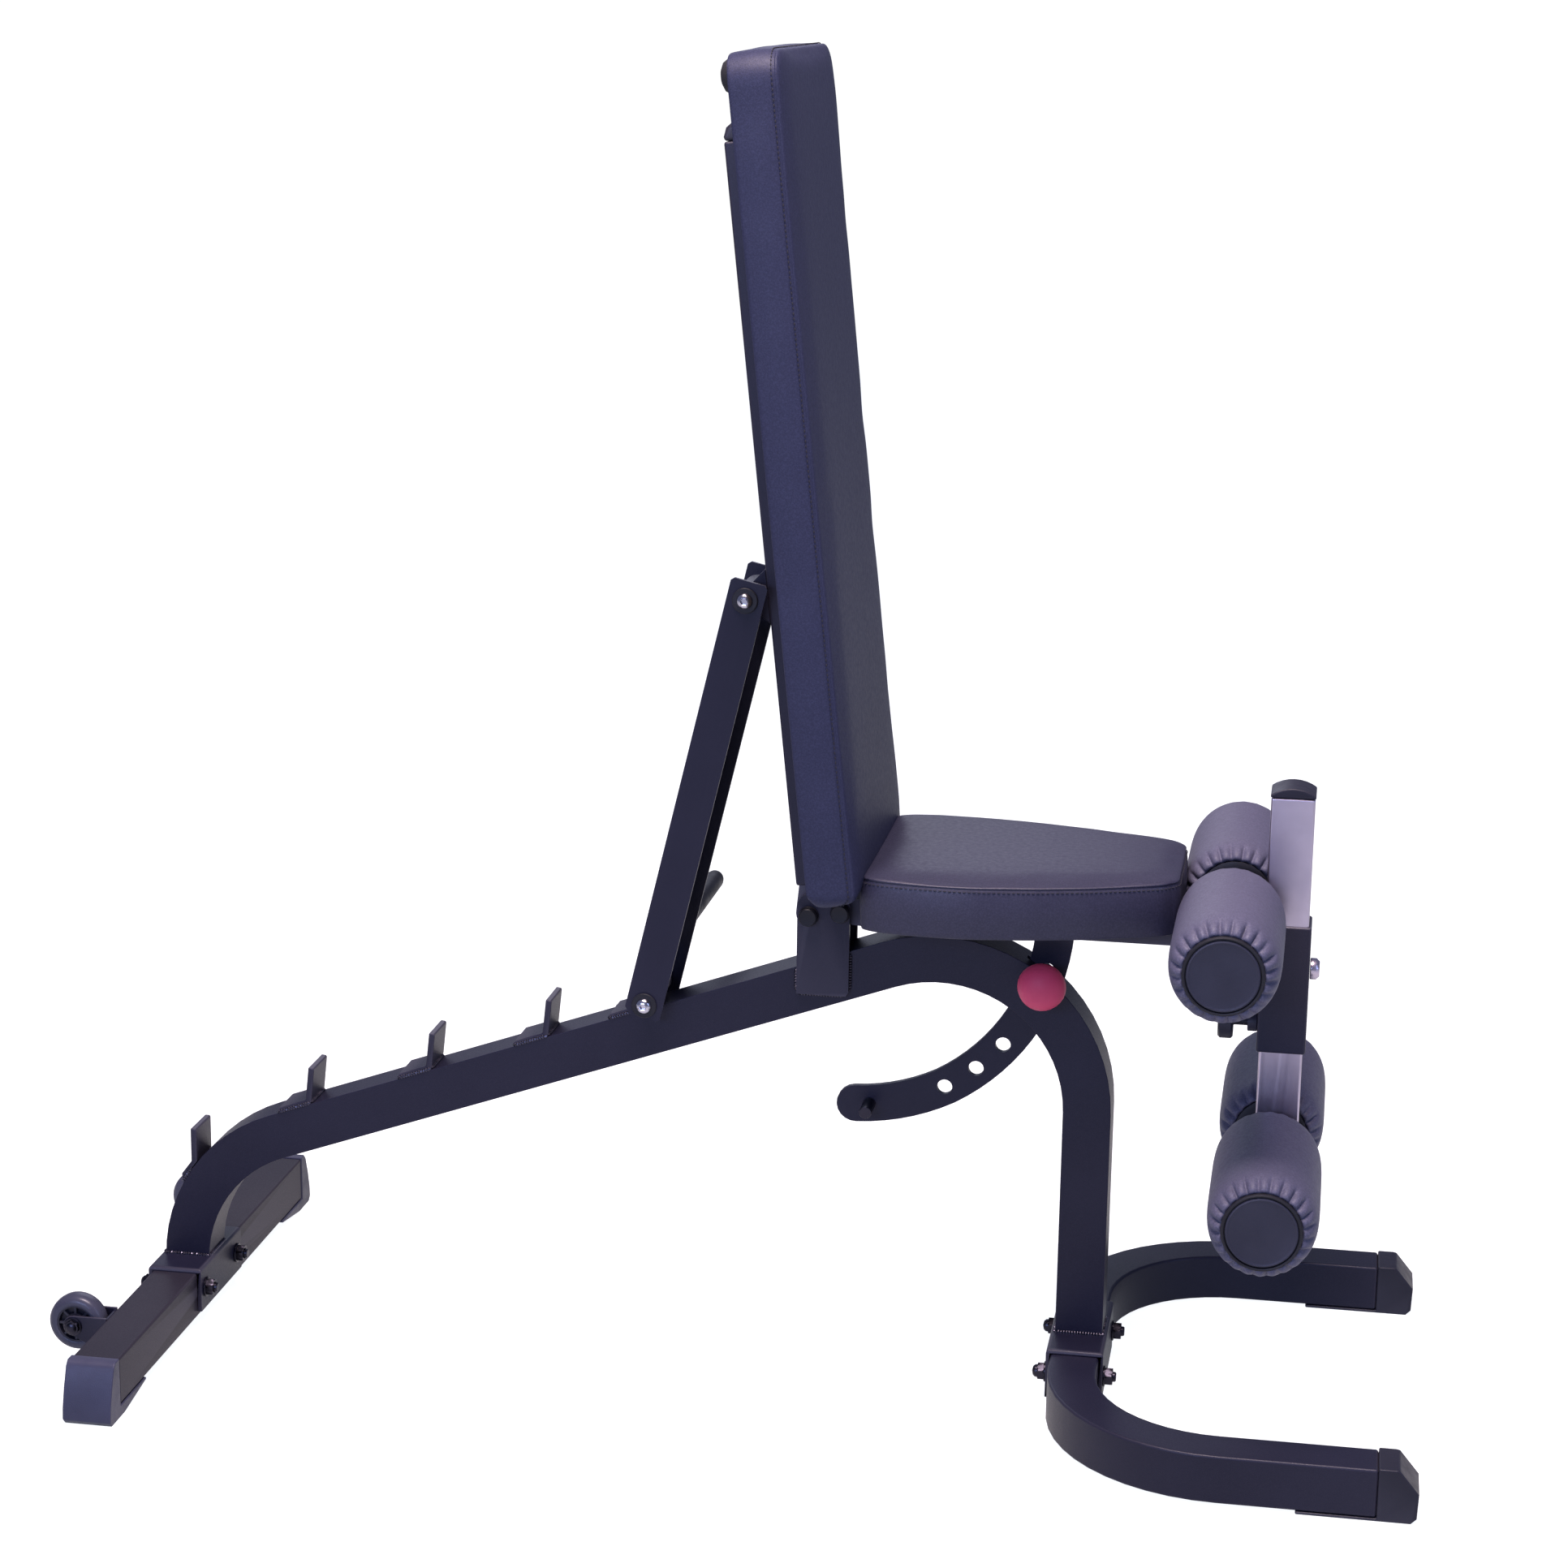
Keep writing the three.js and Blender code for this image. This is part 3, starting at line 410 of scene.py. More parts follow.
def weld(name, line, radius, seed):
    """A lumpy weld bead along a line of points."""
    rng = random.Random(seed)
    length = sum((b - a).length for a, b in zip(line, line[1:]))
    count = max(6, int(length * 1000 / (RIPPLE / ROWS_PER_RIPPLE)))
    verts, faces, ring = [], [], 8
    lumps = [rng.uniform(0.8, 1.25) for _ in range(count // ROWS_PER_RIPPLE + 3)]

    def at(t):
        d = t * length
        for a, b in zip(line, line[1:]):
            seg = (b - a).length
            if d <= seg or b is line[-1]:
                return a.lerp(b, min(1, d / max(seg, 1e-9))), (b - a).normalized()
            d -= seg

    for i in range(count + 1):
        p, d = at(i / count)
        side = d.cross(Vector((0.3, 0.5, 0.81))).normalized()
        up = side.cross(d)
        phase = i / ROWS_PER_RIPPLE
        lump = 0.72 + 0.38 * abs(math.sin(math.pi * phase)) * lumps[int(phase)]
        ends = min(1, 0.25 + min(i, count - i) / 2.5)
        r = radius / 1000 * lump * ends
        for k in range(ring):
            a = 2 * math.pi * k / ring
            verts.append(p + side * (r * math.cos(a)) + up * (r * math.sin(a)))
    for i in range(count):
        for k in range(ring):
            j = (k + 1) % ring
            faces.append((i * ring + k, i * ring + j, (i + 1) * ring + j, (i + 1) * ring + k))
    faces.append(tuple(range(ring)))
    faces.append(tuple(count * ring + k for k in range(ring)))
    return add(name, verts, faces, WELD_HIGHLIGHT, 60)


# ---------------------------------------------------------------- camera, floor and light
cam_data = bpy.data.cameras.new("camera")
cam_data.lens = 76.05
cam_data.sensor_width = 36
cam = bpy.data.objects.new("camera", cam_data)
scene.collection.objects.link(cam)
place = P(228.65, -2967.65, 1307.28)
azimuth, height, roll = (math.radians(a) for a in (-80.4059, 13.7762, 0.8065))
back = Vector((math.cos(height) * math.cos(azimuth), math.cos(height) * math.sin(azimuth), math.sin(height)))
turned_round = back.to_track_quat("Z", "Y").to_matrix().to_4x4()
cam.matrix_world = Matrix.Translation(place) @ turned_round @ Matrix.Rotation(roll, 4, "Z")
scene.camera = cam

# The floor is pale paper with a glow of its own: full strength when looked at, less as a source of light.
FLOOR = material("floor_paint", (0.3, 0.3, 0.31), 0.75, Emission_Color=(0.95, 0.965, 1, 1))
FLOOR_HALF = 9
corners = [(x * FLOOR_HALF, y * FLOOR_HALF, 0) for x, y in ((-1, -1), (1, -1), (1, 1), (-1, 1))]
floor = add("floor", corners, [(0, 1, 2, 3)], FLOOR)
GLOW, GLOW_SEEN = 0.45, 1.0
paper = Nodes(FLOOR)
direct = paper.add("ShaderNodeLightPath").outputs["Is Camera Ray"]
glow = paper.math("ADD", paper.math("MULTIPLY", direct, GLOW_SEEN - GLOW), GLOW)
paper.link(glow, paper.b.inputs["Emission Strength"])

world = bpy.data.worlds.new("studio")
scene.world = world
world.use_nodes = True
wt = world.node_tree
bg = wt.nodes["Background"]
bg.inputs["Color"].default_value = (0.6, 0.66, 1.0, 1)
bg.inputs["Strength"].default_value = 0.28
seen = wt.nodes.new("ShaderNodeBackground")
seen.inputs["Color"].default_value = (1, 1, 1, 1)
seen.inputs["Strength"].default_value = 1.05
path = wt.nodes.new("ShaderNodeLightPath")
pick = wt.nodes.new("ShaderNodeMixShader")
wt.links.new(path.outputs["Is Camera Ray"], pick.inputs[0])
wt.links.new(bg.outputs[0], pick.inputs[1])
wt.links.new(seen.outputs[0], pick.inputs[2])
wt.links.new(pick.outputs[0], wt.nodes["World Output"].inputs["Surface"])


def softbox(name, place, target, size, power, colour):
    """A rectangular lamp in metres and watts, aimed at its target."""
    data = bpy.data.lights.new(name, "AREA")
    data.shape = "RECTANGLE"
    data.size, data.size_y = size
    data.energy = power
    data.color = colour
    ob = bpy.data.objects.new(name, data)
    scene.collection.objects.link(ob)
    ob.location = place
    ob.rotation_euler = (Vector(target) - Vector(place)).to_track_quat("-Z", "Y").to_euler()


softbox("overhead", (0.1, -0.7, 3.0), (0.1, 0, 0.4), (1.5, 1.1), 165, (1.0, 0.8, 0.72))
softbox("front_fill", (-1.0, -4.2, 1.75), (0, 0, 0.5), (2.4, 0.9), 78, (0.53, 0.64, 1.0))
softbox("right_fill", (2.9, -1.5, 1.5), (0, 0, 0.7), (0.9, 1.6), 16, (0.5, 0.62, 1.0))
softbox("rear_fill", (-0.8, 2.8, 1.8), (0, 0, 0.5), (2.0, 1.6), 12, (0.85, 0.88, 1.0))
scene.view_settings.view_transform = "Standard"

# ---------------------------------------------------------------- steel frame
C = "frame_black"
SKIN = 1e-4
TUBE_ROUND = 5.0


def on_side(half):
    """Corners that lie on the two side faces of a bar."""
    return lambda v: abs(v.y) > half - SKIN


def on_side_corner(node, half):
    """Corners of an upright tube that lie both on its sides and on its front or rear."""
    ends = [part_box(node)[i].x for i in (0, 1)]
    return lambda v: abs(v.y) > half - SKIN and min(abs(v.x - x) for x in ends) < SKIN


HALF = TUBE / 2000
polish("main_rail", POWDER, C, 0, 2, on_side(HALF), TUBE_ROUND)
# The rear cross tube takes the copy of the powder coat with the painted warm light.
for node in ("front_foot_tube", "rear_cross_tube"):
    low, high = (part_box(node)[i].z for i in (0, 1))
    coat = REAR_WARM_LIT_POWDER if node == "rear_cross_tube" else POWDER
    polish(node, coat, C, 0, 2, lambda v: v.z < low + SKIN or v.z > high - SKIN, TUBE_ROUND)
polish("back_frame_tube", POWDER, C, 0.6, 1, on_side(HALF), 4.0)
polish("seat_frame_tube", POWDER, C, 0.6, 1, on_side(0.02), 3.0)
polish("leg_sleeve", POWDER, C, 0.5, 1, on_side_corner("leg_sleeve", HALF), 3.0)
for node in ("front_saddle", "rear_saddle"):
    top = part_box(node)[1].z
    polish(node, POWDER, C, 0.9, 2, lambda v: v.z > top - SKIN, 4.0)
for i in range(1, 6):
    polish(f"catch_{i}", POWDER, C, 1.3, 2)
for node in (
    "pivot_plate_near", "pivot_plate_far", "wheel_fork_near", "wheel_fork_far", "seat_pin_bracket",
    "strut_lug", "seat_arc_plate", "leg_pin_housing",
):
    polish(node, POWDER, C, 0.9, 2)
polish("strut_channel", POWDER, C, 0.9, 2)
for node in ("upper_axle", "lower_axle"):
    polish(node, POWDER, C, 0.5, 1)
for node in ("front_cap_near", "front_cap_far"):
    polish(node, BLACK, "black_plastic", 3.0, 3)
# The rear end caps take the copy of the black plastic with the painted reflection.
for node in ("rear_cap_near", "rear_cap_far"):
    polish(node, REAR_CAP_LIT_PLASTIC, "black_plastic", 6.5, 4)
for node, width in (("back_tube_cap", 4.0), ("leg_tube_cap", 3.5)):
    polish(node, BLACK, "black_plastic", width, 3)
polish("seat_stop_stud", BOLT, "steel", 0.5, 2)
polish("seat_pin", STEEL, "steel", 0.5, 2)


def mid(node):
    """The middle of a CAD node, in the millimetres that P takes."""
    lo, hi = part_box(node)
    c = (lo + hi) / 2
    return (c.x - SHIFT) * 1000, c.y * 1000, c.z * 1000


def merge(name, *obs):
    """One object from several."""
    bm = bmesh.new()
    mats = []
    for ob in obs:
        first = len(bm.faces)
        bm.from_mesh(ob.data)
        bm.faces.ensure_lookup_table()
        mat = ob.data.materials[0]
        if mat not in mats:
            mats.append(mat)
        for f in bm.faces[first:]:
            f.material_index = mats.index(mat)
    me = bpy.data.meshes.new(name)
    bm.to_mesh(me)
    bm.free()
    for mat in mats:
        me.materials.append(mat)
    smooth(me, 30)
    for ob in obs:
        bpy.data.objects.remove(ob)
    out = bpy.data.objects.new(name, me)
    scene.collection.objects.link(out)
    return out


SIXTH = math.pi / 6
SHANK = 4.9
BORE = 5


def along(start, sign, profile):
    """A profile moved to its start on the axis and pointed either way."""
    return [(start + sign * h, r) for h, r in profile]


def rod(name, low, high, mat, centre, axis="Y", segments=20):
    """A plain bolt shank between two places on the axis."""
    return turned(name, [(low, 0), (low, SHANK), (high, SHANK), (high, 0)], mat, centre, axis, segments)


def washer(name, centre, axis, start, sign, r, thick, mat):
    prof = [(0, BORE), (0, r - 0.3), (0.3, r), (thick - 0.5, r), (thick, r - 0.7), (thick, BORE), (0, BORE)]
    return turned(name, along(start, sign, prof), mat, centre, axis, 28, 30)


def hex_nut(name, centre, axis, start, sign, across, depth, mat, cap=0.0):
    """A chamfered hexagon, with a rounded cap beyond it when cap is given, or else a thread end."""
    r = across / 2 / math.cos(SIXTH)

    def six(rr, h, a):
        return min(rr, r * math.cos(SIXTH) / math.cos((a + 0.4) % (2 * SIXTH) - SIXTH)), h

    prof = [(0, 0), (0, r * 0.93), (0.7, r * 1.01), (depth - 0.9, r * 1.01), (depth, r * 0.86)]
    if cap:
        steps = ((0.2, 0.4), (cap * 0.45, 0.38), (cap * 0.8, 0.27), (cap, 0))
    else:
        steps = ((-0.1, 0.36), (-1.2, 0.31), (2.2, 0.3), (3.2, 0.25), (3.2, 0))
    prof += [(depth + h, across * share) for h, share in steps]
    return turned(name, along(start, sign, prof), mat, centre, axis, 48, 24, six)


def socket_dome(name, centre, axis, start, sign, r, tall, mat):
    """A domed head with a hexagon recess."""
    def six(rr, h, a):
        if rr < r * 0.5:
            return rr * math.cos(SIXTH) / math.cos(a % (2 * SIXTH) - SIXTH), h
        return rr, h

    shares = (
        (0, 0), (0, 1), (0.25, 1), (0.62, 0.88), (0.9, 0.66), (1, 0.49), (0.94, 0.44), (0.4, 0.42), (0.4, 0),
    )
    prof = [(tall * h, r * rr) for h, rr in shares]
    return turned(name, along(start, sign, prof), mat, centre, axis, 48, 24, six)


def saddle_bolt(end, side):
    """A bolt through a saddle and its tube, capped at the rear and with a thread end in front."""
    node = f"{end}_bolt_{side}"
    _, y, z = mid(node)
    c = (mid(f"{end}_saddle")[0], y, z)
    face, thick, across = 27.3, 1.6, 15.5
    parts = [
        washer(node + "_a", c, "X", -face, -1, 9.8, thick, BOLT),
        hex_nut(node + "_b", c, "X", -face - thick, -1, across, 6, BOLT, 5.5),
        washer(node + "_c", c, "X", face, 1, 9.8, thick, BOLT),
        hex_nut(node + "_d", c, "X", face + thick, 1, across, 7, BOLT),
        rod(node + "_e", -face, face, BOLT, c, "X", 16),
    ]
    give(merge(node + "_set", *parts), "frame", "steel", node)


def wheel_axle(side):
    node = "wheel_axle_" + side
    c = mid(node)
    out, thick = 15.8, 1.3
    parts = [rod(node + "_rod", -out, out, BOLT, c, "Y", 16)]
    for sign in (-1, 1):
        parts.append(washer(f"{node}_w{sign}", c, "Y", sign * out, sign, 9, thick, BOLT))
        parts.append(hex_nut(f"{node}_n{sign}", c, "Y", sign * (out + thick), sign, 13, 3.2, BOLT, 3))
    give(merge(node + "_set", *parts), "frame", "steel", node)


def pivot_bolt(node):
    """A bolt through both pivot plates, with a moulded cap over each end."""
    x, _, z = mid(node)
    c = (x, 0, z)
    prof = [(0, 0), (0, 9.4), (3.4, 9.4), (4.2, 8.9), (7.6, 8.5), (8.6, 7.6), (8.4, 6.8), (8.6, 0)]
    parts = [rod(node + "_rod", -28, 28, STEEL, c)]
    for sign in (-1, 1):
        parts.append(turned(f"{node}_{sign}", along(sign * 28.1, sign, prof), RIM, c, "Y", 40, 30))
    give(merge(node + "_set", *parts), "frame", "black_plastic", node)


for end in ("front", "rear"):
    for side, _ in (NEAR, FAR):
        saddle_bolt(end, side)
for side, _ in (NEAR, FAR):
    wheel_axle(side)
for node in ("back_pivot_bolt", "seat_pivot_bolt"):
    pivot_bolt(node)

# ---------------------------------------------------------------- strut
FLANGE = 45.3
INSIDE = 41.2
DISH = 1.9


def strut_end(name, c, sign):
    """The washer and the domed head on one flange of the strut."""
    return [
        washer(f"{name}_washer_{sign}", c, "Y", sign * FLANGE, sign, 12, DISH, RIM),
        socket_dome(f"{name}_dome_{sign}", c, "Y", sign * (FLANGE + DISH), sign, 7.4, 4.9, DOME),
    ]


x, _, z = mid("strut_upper_bolt")
top_end = (x, 0, z)
parts = [rod("upper_rod", -FLANGE, FLANGE, STEEL, top_end)]
for sign in (-1, 1):
    parts += strut_end("upper", top_end, sign)
give(merge("strut_upper_set", *parts), "strut", "steel", "strut_upper_bolt")
x, _, z = mid("strut_pin_near")
foot = (x, 0, z)
for side, sign in (NEAR, FAR):
    parts = [rod(f"foot_{side}_shank", sign * 41, sign * FLANGE, STEEL, foot)] + strut_end("foot", foot, sign)
    give(merge(f"strut_foot_{side}_set", *parts), "strut", "steel", f"strut_pin_{side}")
grip = [
    (45.4, 0), (45.4, 6.2), (62, 6.2), (62.4, 8.2), (64, 9.3), (68, 9.5), (196, 9.5), (201, 8.8),
    (204.6, 6.6), (206, 3), (206.3, 0),
]
x, _, z = mid("lift_handle")
give(turned("lift_handle_grip", grip, RIM, (x, 0, z), "Y", 36, 40), "strut", "black_plastic", "lift_handle")
half_bar = [(INSIDE - 0.6, 9), (INSIDE, 8.4), (INSIDE, 0)]
full_bar = [(-h, r) for h, r in reversed(half_bar)] + half_bar
bar = turned("strut_crossbar", full_bar, POWDER, foot, "Y", 32)
give(bar, "strut", "steel")

# ---------------------------------------------------------------- leg post, knob, bumpers and wheels
polish("leg_tube", REFLECTION_TINTED_CHROME, "chrome", 0.3, 1, on_side_corner("leg_tube", 0.0199), 3.0)
polish("leg_clamp_screw", REFLECTION_TINTED_CHROME, "chrome", 0.8, 2)
polish("leg_pin", BLACK, "black_plastic", 1.2, 2)
polish("seat_pin_knob", RED, "red_plastic", 0, 1)


def both_ends(profile):
    """A closed wheel profile from its half on the positive side, which starts at the inner end."""
    ends = [(-h, r) for h, r in profile] + [(h, r) for h, r in reversed(profile)]
    return ends + ends[:1]


def wheel(side):
    """A polyurethane tyre round a dished hub with eight ribs."""
    node = "wheel_" + side
    c = mid(node)
    tyre = [(10.2, 18), (10.9, 19.2), (10.6, 22), (9, 25), (6, 26.9), (2, 27.5)]
    give(turned(node + "_tyre", both_ends(tyre), TYRE, c, "Y", 64, 60), "castor_" + side, "tyre", node)
    hub = [(8.6, 6), (9.4, 7), (9.4, 10), (5, 11), (5, 15.6), (9.6, 16.4), (9.8, 17.9)]
    faces = [(0, 1, 3, 2), (4, 6, 7, 5), (0, 4, 5, 1), (2, 3, 7, 6), (0, 2, 6, 4), (1, 5, 7, 3)]
    parts = []
    for k in range(8):
        a = math.pi * k / 4
        out, side_on = Vector((math.cos(a), 0, math.sin(a))), Vector((-math.sin(a), 0, math.cos(a)))
        points = [
            Vector(c) + out * r + side_on * (1.1 * t) + Vector((0, y, 0))
            for r in (9.6, 17) for t in (-1, 1) for y in (-8.6, 8.6)
        ]
        parts.append(add(f"{node}_rib{k}", [P(*p) for p in points], faces, BLACK, 30))
    parts.append(turned(node + "_core", both_ends(hub), BLACK, c, "Y", 48, 30))
    give(merge(node + "_hub", *parts), "castor_" + side, "tyre")


for side, _ in (NEAR, FAR):
    polish("back_bumper_" + side, RUBBER, "rubber", 0, 1)
    wheel(side)


# ---------------------------------------------------------------- welds
SLOPE = math.radians(19.7)
HUMP = (-120.0, 272.0)
HUMP_R = 165
REAR_BEND = (-721.5, HUMP[1] - 601.5 * math.tan(SLOPE))
CATCHES = ((-737.2, 31.5), (-615.2, 31.5), (-499.3, 31.5), (-411.4, 25.5))
SADDLE_TOPS = ((0.0, TUBE, 52.9, 3), (-886.5, TUBE - 886.5, 61.4, 4))
PLATE = {"rear": -254, "front": -205, "low": 373.8, "out": 23.6}


def rail_top(x):
    """The top of the sloping rail above a place along the bench."""
    return HUMP[1] + HUMP_R * math.cos(SLOPE) + (x - HUMP[0] + HUMP_R * math.sin(SLOPE)) * math.tan(SLOPE)


def saddle_welds(x0, x1, z, seed):
    """A bead round the foot of a post, where it stands on its saddle."""
    ring = [(x0 - 0.6, -23), (x1 + 0.6, -23), (x1 + 0.6, 23), (x0 - 0.6, 23), (x0 - 0.6, -23)]
    for k, (a, b) in enumerate(zip(ring, ring[1:])):
        yield weld(f"bead_{seed}_{k}", [P(*a, z), P(*b, z)], 1.9, seed * 10 + k)


def catch_welds(k, x, strap):
    """Beads along both sides of a catch's strap and across its two ends."""
    x0, x1 = x - strap * math.cos(SLOPE), x + 4
    for sign in (-1, 1):
        run = [P(x0, sign * 21.9, rail_top(x0) + 1.2), P(x1, sign * 21.9, rail_top(x1) + 1.2)]
        yield weld(f"catch_bead_{k}_{sign}", run, 1.7, 60 + k * 2 + sign)
    for name, at, seed in (("front", x1 + 0.4, 80), ("rear", x0, 90)):
        ends = [P(at, y, rail_top(at) + 1) for y in (-20, 20)]
        yield weld(f"catch_{name}_{k}", ends, 1.8, seed + k)


def first_catch_weld(sign):
    """The rearmost catch stands on the rear bend, so its side beads follow the bend."""
    r = HUMP_R + 1.4
    turns = [math.radians(143.1 + 1.5 + t * 1.3) for t in range(6)]
    run = [P(REAR_BEND[0] + r * math.cos(a), sign * 21.9, REAR_BEND[1] + r * math.sin(a)) for a in turns]
    return weld(f"first_bead_{sign}", run, 1.7, 110 + sign)


def plate_welds(sign):
    """Beads along the three edges of a pivot plate that meet the rail."""
    y = sign * PLATE["out"]
    rear, front, low = PLATE["rear"], PLATE["front"], PLATE["low"]
    rear_run = [P(rear - 0.6, y, 376), P(rear - 0.6, y, rail_top(rear) - 2)]
    front_run = [P(front + 0.8, y, 379), P(front + 0.8, y, rail_top(front) - 2)]
    yield weld(f"plate_low_{sign}", [P(rear + 1, y, low), P(front - 3, y, low)], 2.0, 120 + sign)
    yield weld(f"plate_rear_{sign}", rear_run, 2.0, 130 + sign)
    yield weld(f"plate_front_{sign}", front_run, 2.0, 140 + sign)


beads = []
for saddle in SADDLE_TOPS:
    beads += saddle_welds(*saddle)
for k, catch in enumerate(CATCHES):
    beads += catch_welds(k, *catch)
beads += [first_catch_weld(sign) for sign in (-1, 1)]
for sign in (-1, 1):
    beads += plate_welds(sign)
give(merge("weld_beads", *beads), "frame", C)


# ---------------------------------------------------------------- upholstery
def spread(length, fine, coarse):
    """Distances from one edge to the other, closer together at both edges."""
    ends = [0.0]
    for d in fine:
        ends.append(ends[-1] + d)
    middle = length - 2 * ends[-1]
    count = max(1, round(middle / coarse))
    inner = [ends[-1] + middle * i / count for i in range(1, count)]
    return ends + inner + [length - d for d in reversed(ends)]


FINE = (1.6, 2.0, 2.4, 3.0, 4.0, 6.0)
COARSE = 9.0
GROOVE = 2.3
BELLY = 1.3
BAND_ROWS = 7


def pad(name, mat, width, b0, b1, r0, r1, thick, place, ease=0.0, seam=5.0, roll=8.0, crown=3.0):
    """A boxed cushion: a crowned front panel, a band round its edge with a sewn groove, and a flat rear.
    width(b) is its half width, r0 and r1 the corner radii at its two ends, ease rounds the b0 end forward,
    and place(a, b, c) puts a point across, along and out from the rear into the scene."""
    bs = [b0 + d for d in spread(b1 - b0, FINE, COARSE)]
    across = [d / 100 - 1 for d in spread(200, [f * 0.72 for f in FINE], 200 / 30)]
    rows, cols = len(bs), len(across)

    def plan(b, q):
        """Where a grid point lies, with rounded corners, and how far inside the edge it is."""
        hw = width(b)
        r = r0 if b < (b0 + b1) / 2 else r1
        a = q * hw
        ax = abs(a) - (hw - r)
        bx = (b0 + r - b) if b < (b0 + b1) / 2 else (b - (b1 - r))
        if ax > 0 and bx > 0:
            u, v = ax / r, bx / r
            u, v = u * math.sqrt(1 - v * v / 2), v * math.sqrt(1 - u * u / 2)
            a = math.copysign(hw - r + u * r, a)
            b = b0 + r - v * r if b < (b0 + b1) / 2 else b1 - r + v * r
            inner = r * (1 - math.hypot(u, v))
        else:
            inner = min(hw - abs(a), b - b0, b1 - b)
        return a, b, max(0.0, inner)

    def eased(b):
        d = b - b0
        return ease - math.sqrt(max(0, ease ** 2 - (ease - d) ** 2)) if ease and d < ease else 0.0

    def front(b, d):
        """The height of the front panel: lower at its rolled edge and crowned inside it."""
        h = thick - eased(b)
        if d < roll:
            h -= seam * (1 - math.sqrt(max(0, 1 - ((roll - d) / roll) ** 2)))
        span = min(1.0, d / 70)
        return h + crown * math.sin(span * math.pi / 2)

    verts, faces, kind = [], [], []
    index = [[None] * cols for _ in range(rows)]
    for i, b in enumerate(bs):
        for j, q in enumerate(across):
            a2, b2, d = plan(b, q)
            index[i][j] = len(verts)
            verts.append([a2, b2, front(b2, d)])
            kind.append("front" if d > 0.01 else "seam")
    for i in range(rows - 1):
        for j in range(cols - 1):
            faces.append((index[i][j], index[i][j + 1], index[i + 1][j + 1], index[i + 1][j]))
    rim = [index[0][j] for j in range(cols)] + [index[i][-1] for i in range(1, rows)]
    rim += [index[-1][j] for j in range(cols - 2, -1, -1)] + [index[i][0] for i in range(rows - 2, 0, -1)]
    n = len(rim)
    outward = []
    for k in range(n):
        p, q = verts[rim[k - 1]], verts[rim[(k + 1) % n]]
        d = Vector((q[0] - p[0], q[1] - p[1]))
        outward.append(Vector((d.y, -d.x)).normalized())
    loops = [rim]
    for level in range(BAND_ROWS + 2):
        loop = []
        for k, v in enumerate(rim):
            a, b, c = verts[v]
            if level == 0:
                out, h = -1.9, c - 1.1
            elif level == 1:
                out, h = -0.2, c - GROOVE
            else:
                t = (level - 1) / BAND_ROWS
                out, h = BELLY * math.sin(math.pi * min(1, t * 1.05)), (c - GROOVE) * (1 - t)
            loop.append(len(verts))
            verts.append([a + outward[k].x * out, b + outward[k].y * out, h])
            kind.append("band" if level else "seam")
        loops.append(loop)
    for one, two in zip(loops, loops[1:]):
        for k in range(n):
            j = (k + 1) % n
            faces.append((one[j], one[k], two[k], two[j]))
    rear = [[None] * cols for _ in range(rows)]
    edge = dict(zip(rim, loops[-1]))
    for i in range(rows):
        for j in range(cols):
            if index[i][j] in edge:
                rear[i][j] = edge[index[i][j]]
                kind[rear[i][j]] = "rear"
            else:
                a, b, _ = verts[index[i][j]]
                rear[i][j] = len(verts)
                verts.append([a, b, 0.0])
                kind.append("rear")
    for i in range(rows - 1):
        for j in range(cols - 1):
            faces.append((rear[i][j], rear[i + 1][j], rear[i + 1][j + 1], rear[i][j + 1]))
    ob = add(name, [place(*v) for v in verts], faces, mat, 180)
    sewn = []
    for v, away in zip(rim, outward):
        a, b, c = verts[v]
        sewn.append(place(a + away.x * 0.5, b + away.y * 0.5, c - 3.4))
    return ob, kind, sewn


HELD = {"rear": 1.0, "seam": 0.92, "band": 0.0, "front": 0.0}
FRAMES = 20


def inflate(ob, kind, pressure, cap, grow, even):
    """Fills the cushion: cloth held at its seam and rear swells and wrinkles a little. Its movement is
    evened out over the neighbours of each point and kept under cap metres."""
    group = ob.vertex_groups.new(name="held")
    for i, k in enumerate(kind):
        if HELD[k]:
            group.add([i], HELD[k], "REPLACE")
    start = [v.co.copy() for v in ob.data.vertices]
    mod = ob.modifiers.new("Cloth", "CLOTH")
    s = mod.settings
    s.vertex_group_mass = "held"
    s.quality = 6
    s.mass = 0.25
    s.tension_stiffness = s.compression_stiffness = 30
    s.shear_stiffness = 12
    s.bending_stiffness = 1.2
    s.use_pressure = True
    s.uniform_pressure_force = pressure
    s.shrink_min = -grow
    s.effector_weights.gravity = 0
    mod.collision_settings.use_collision = False
    mod.point_cache.frame_start, mod.point_cache.frame_end = 1, FRAMES + 4
    for f in range(1, FRAMES + 1):
        scene.frame_set(f)
    dg = bpy.context.evaluated_depsgraph_get()
    done = [v.co.copy() for v in ob.evaluated_get(dg).data.vertices]
    ob.modifiers.remove(mod)
    ob.vertex_groups.remove(group)
    scene.frame_set(1)
    moves = [b - a for a, b in zip(start, done)]
    beside = [[] for _ in moves]
    for e in ob.data.edges:
        a, b = e.vertices
        beside[a].append(b)
        beside[b].append(a)
    for _ in range(even):
        sums = [m + sum((moves[k] for k in near), Vector()) for m, near in zip(moves, beside)]
        moves = [total / (1 + len(near)) for total, near in zip(sums, beside)]
    for v, a, m in zip(ob.data.vertices, start, moves):
        v.co = a + m * min(1.0, cap / max(m.length, 1e-9))


def refine(ob):
    """One level of subdivision, for a soft outline."""
    mod = ob.modifiers.new("Subdivision", "SUBSURF")
    mod.levels = mod.render_levels = 1
    bake(ob)
    smooth(ob.data, 180)


STITCH = {"pitch": 4.4, "length": 2.9, "r": 0.55, "sides": 5}


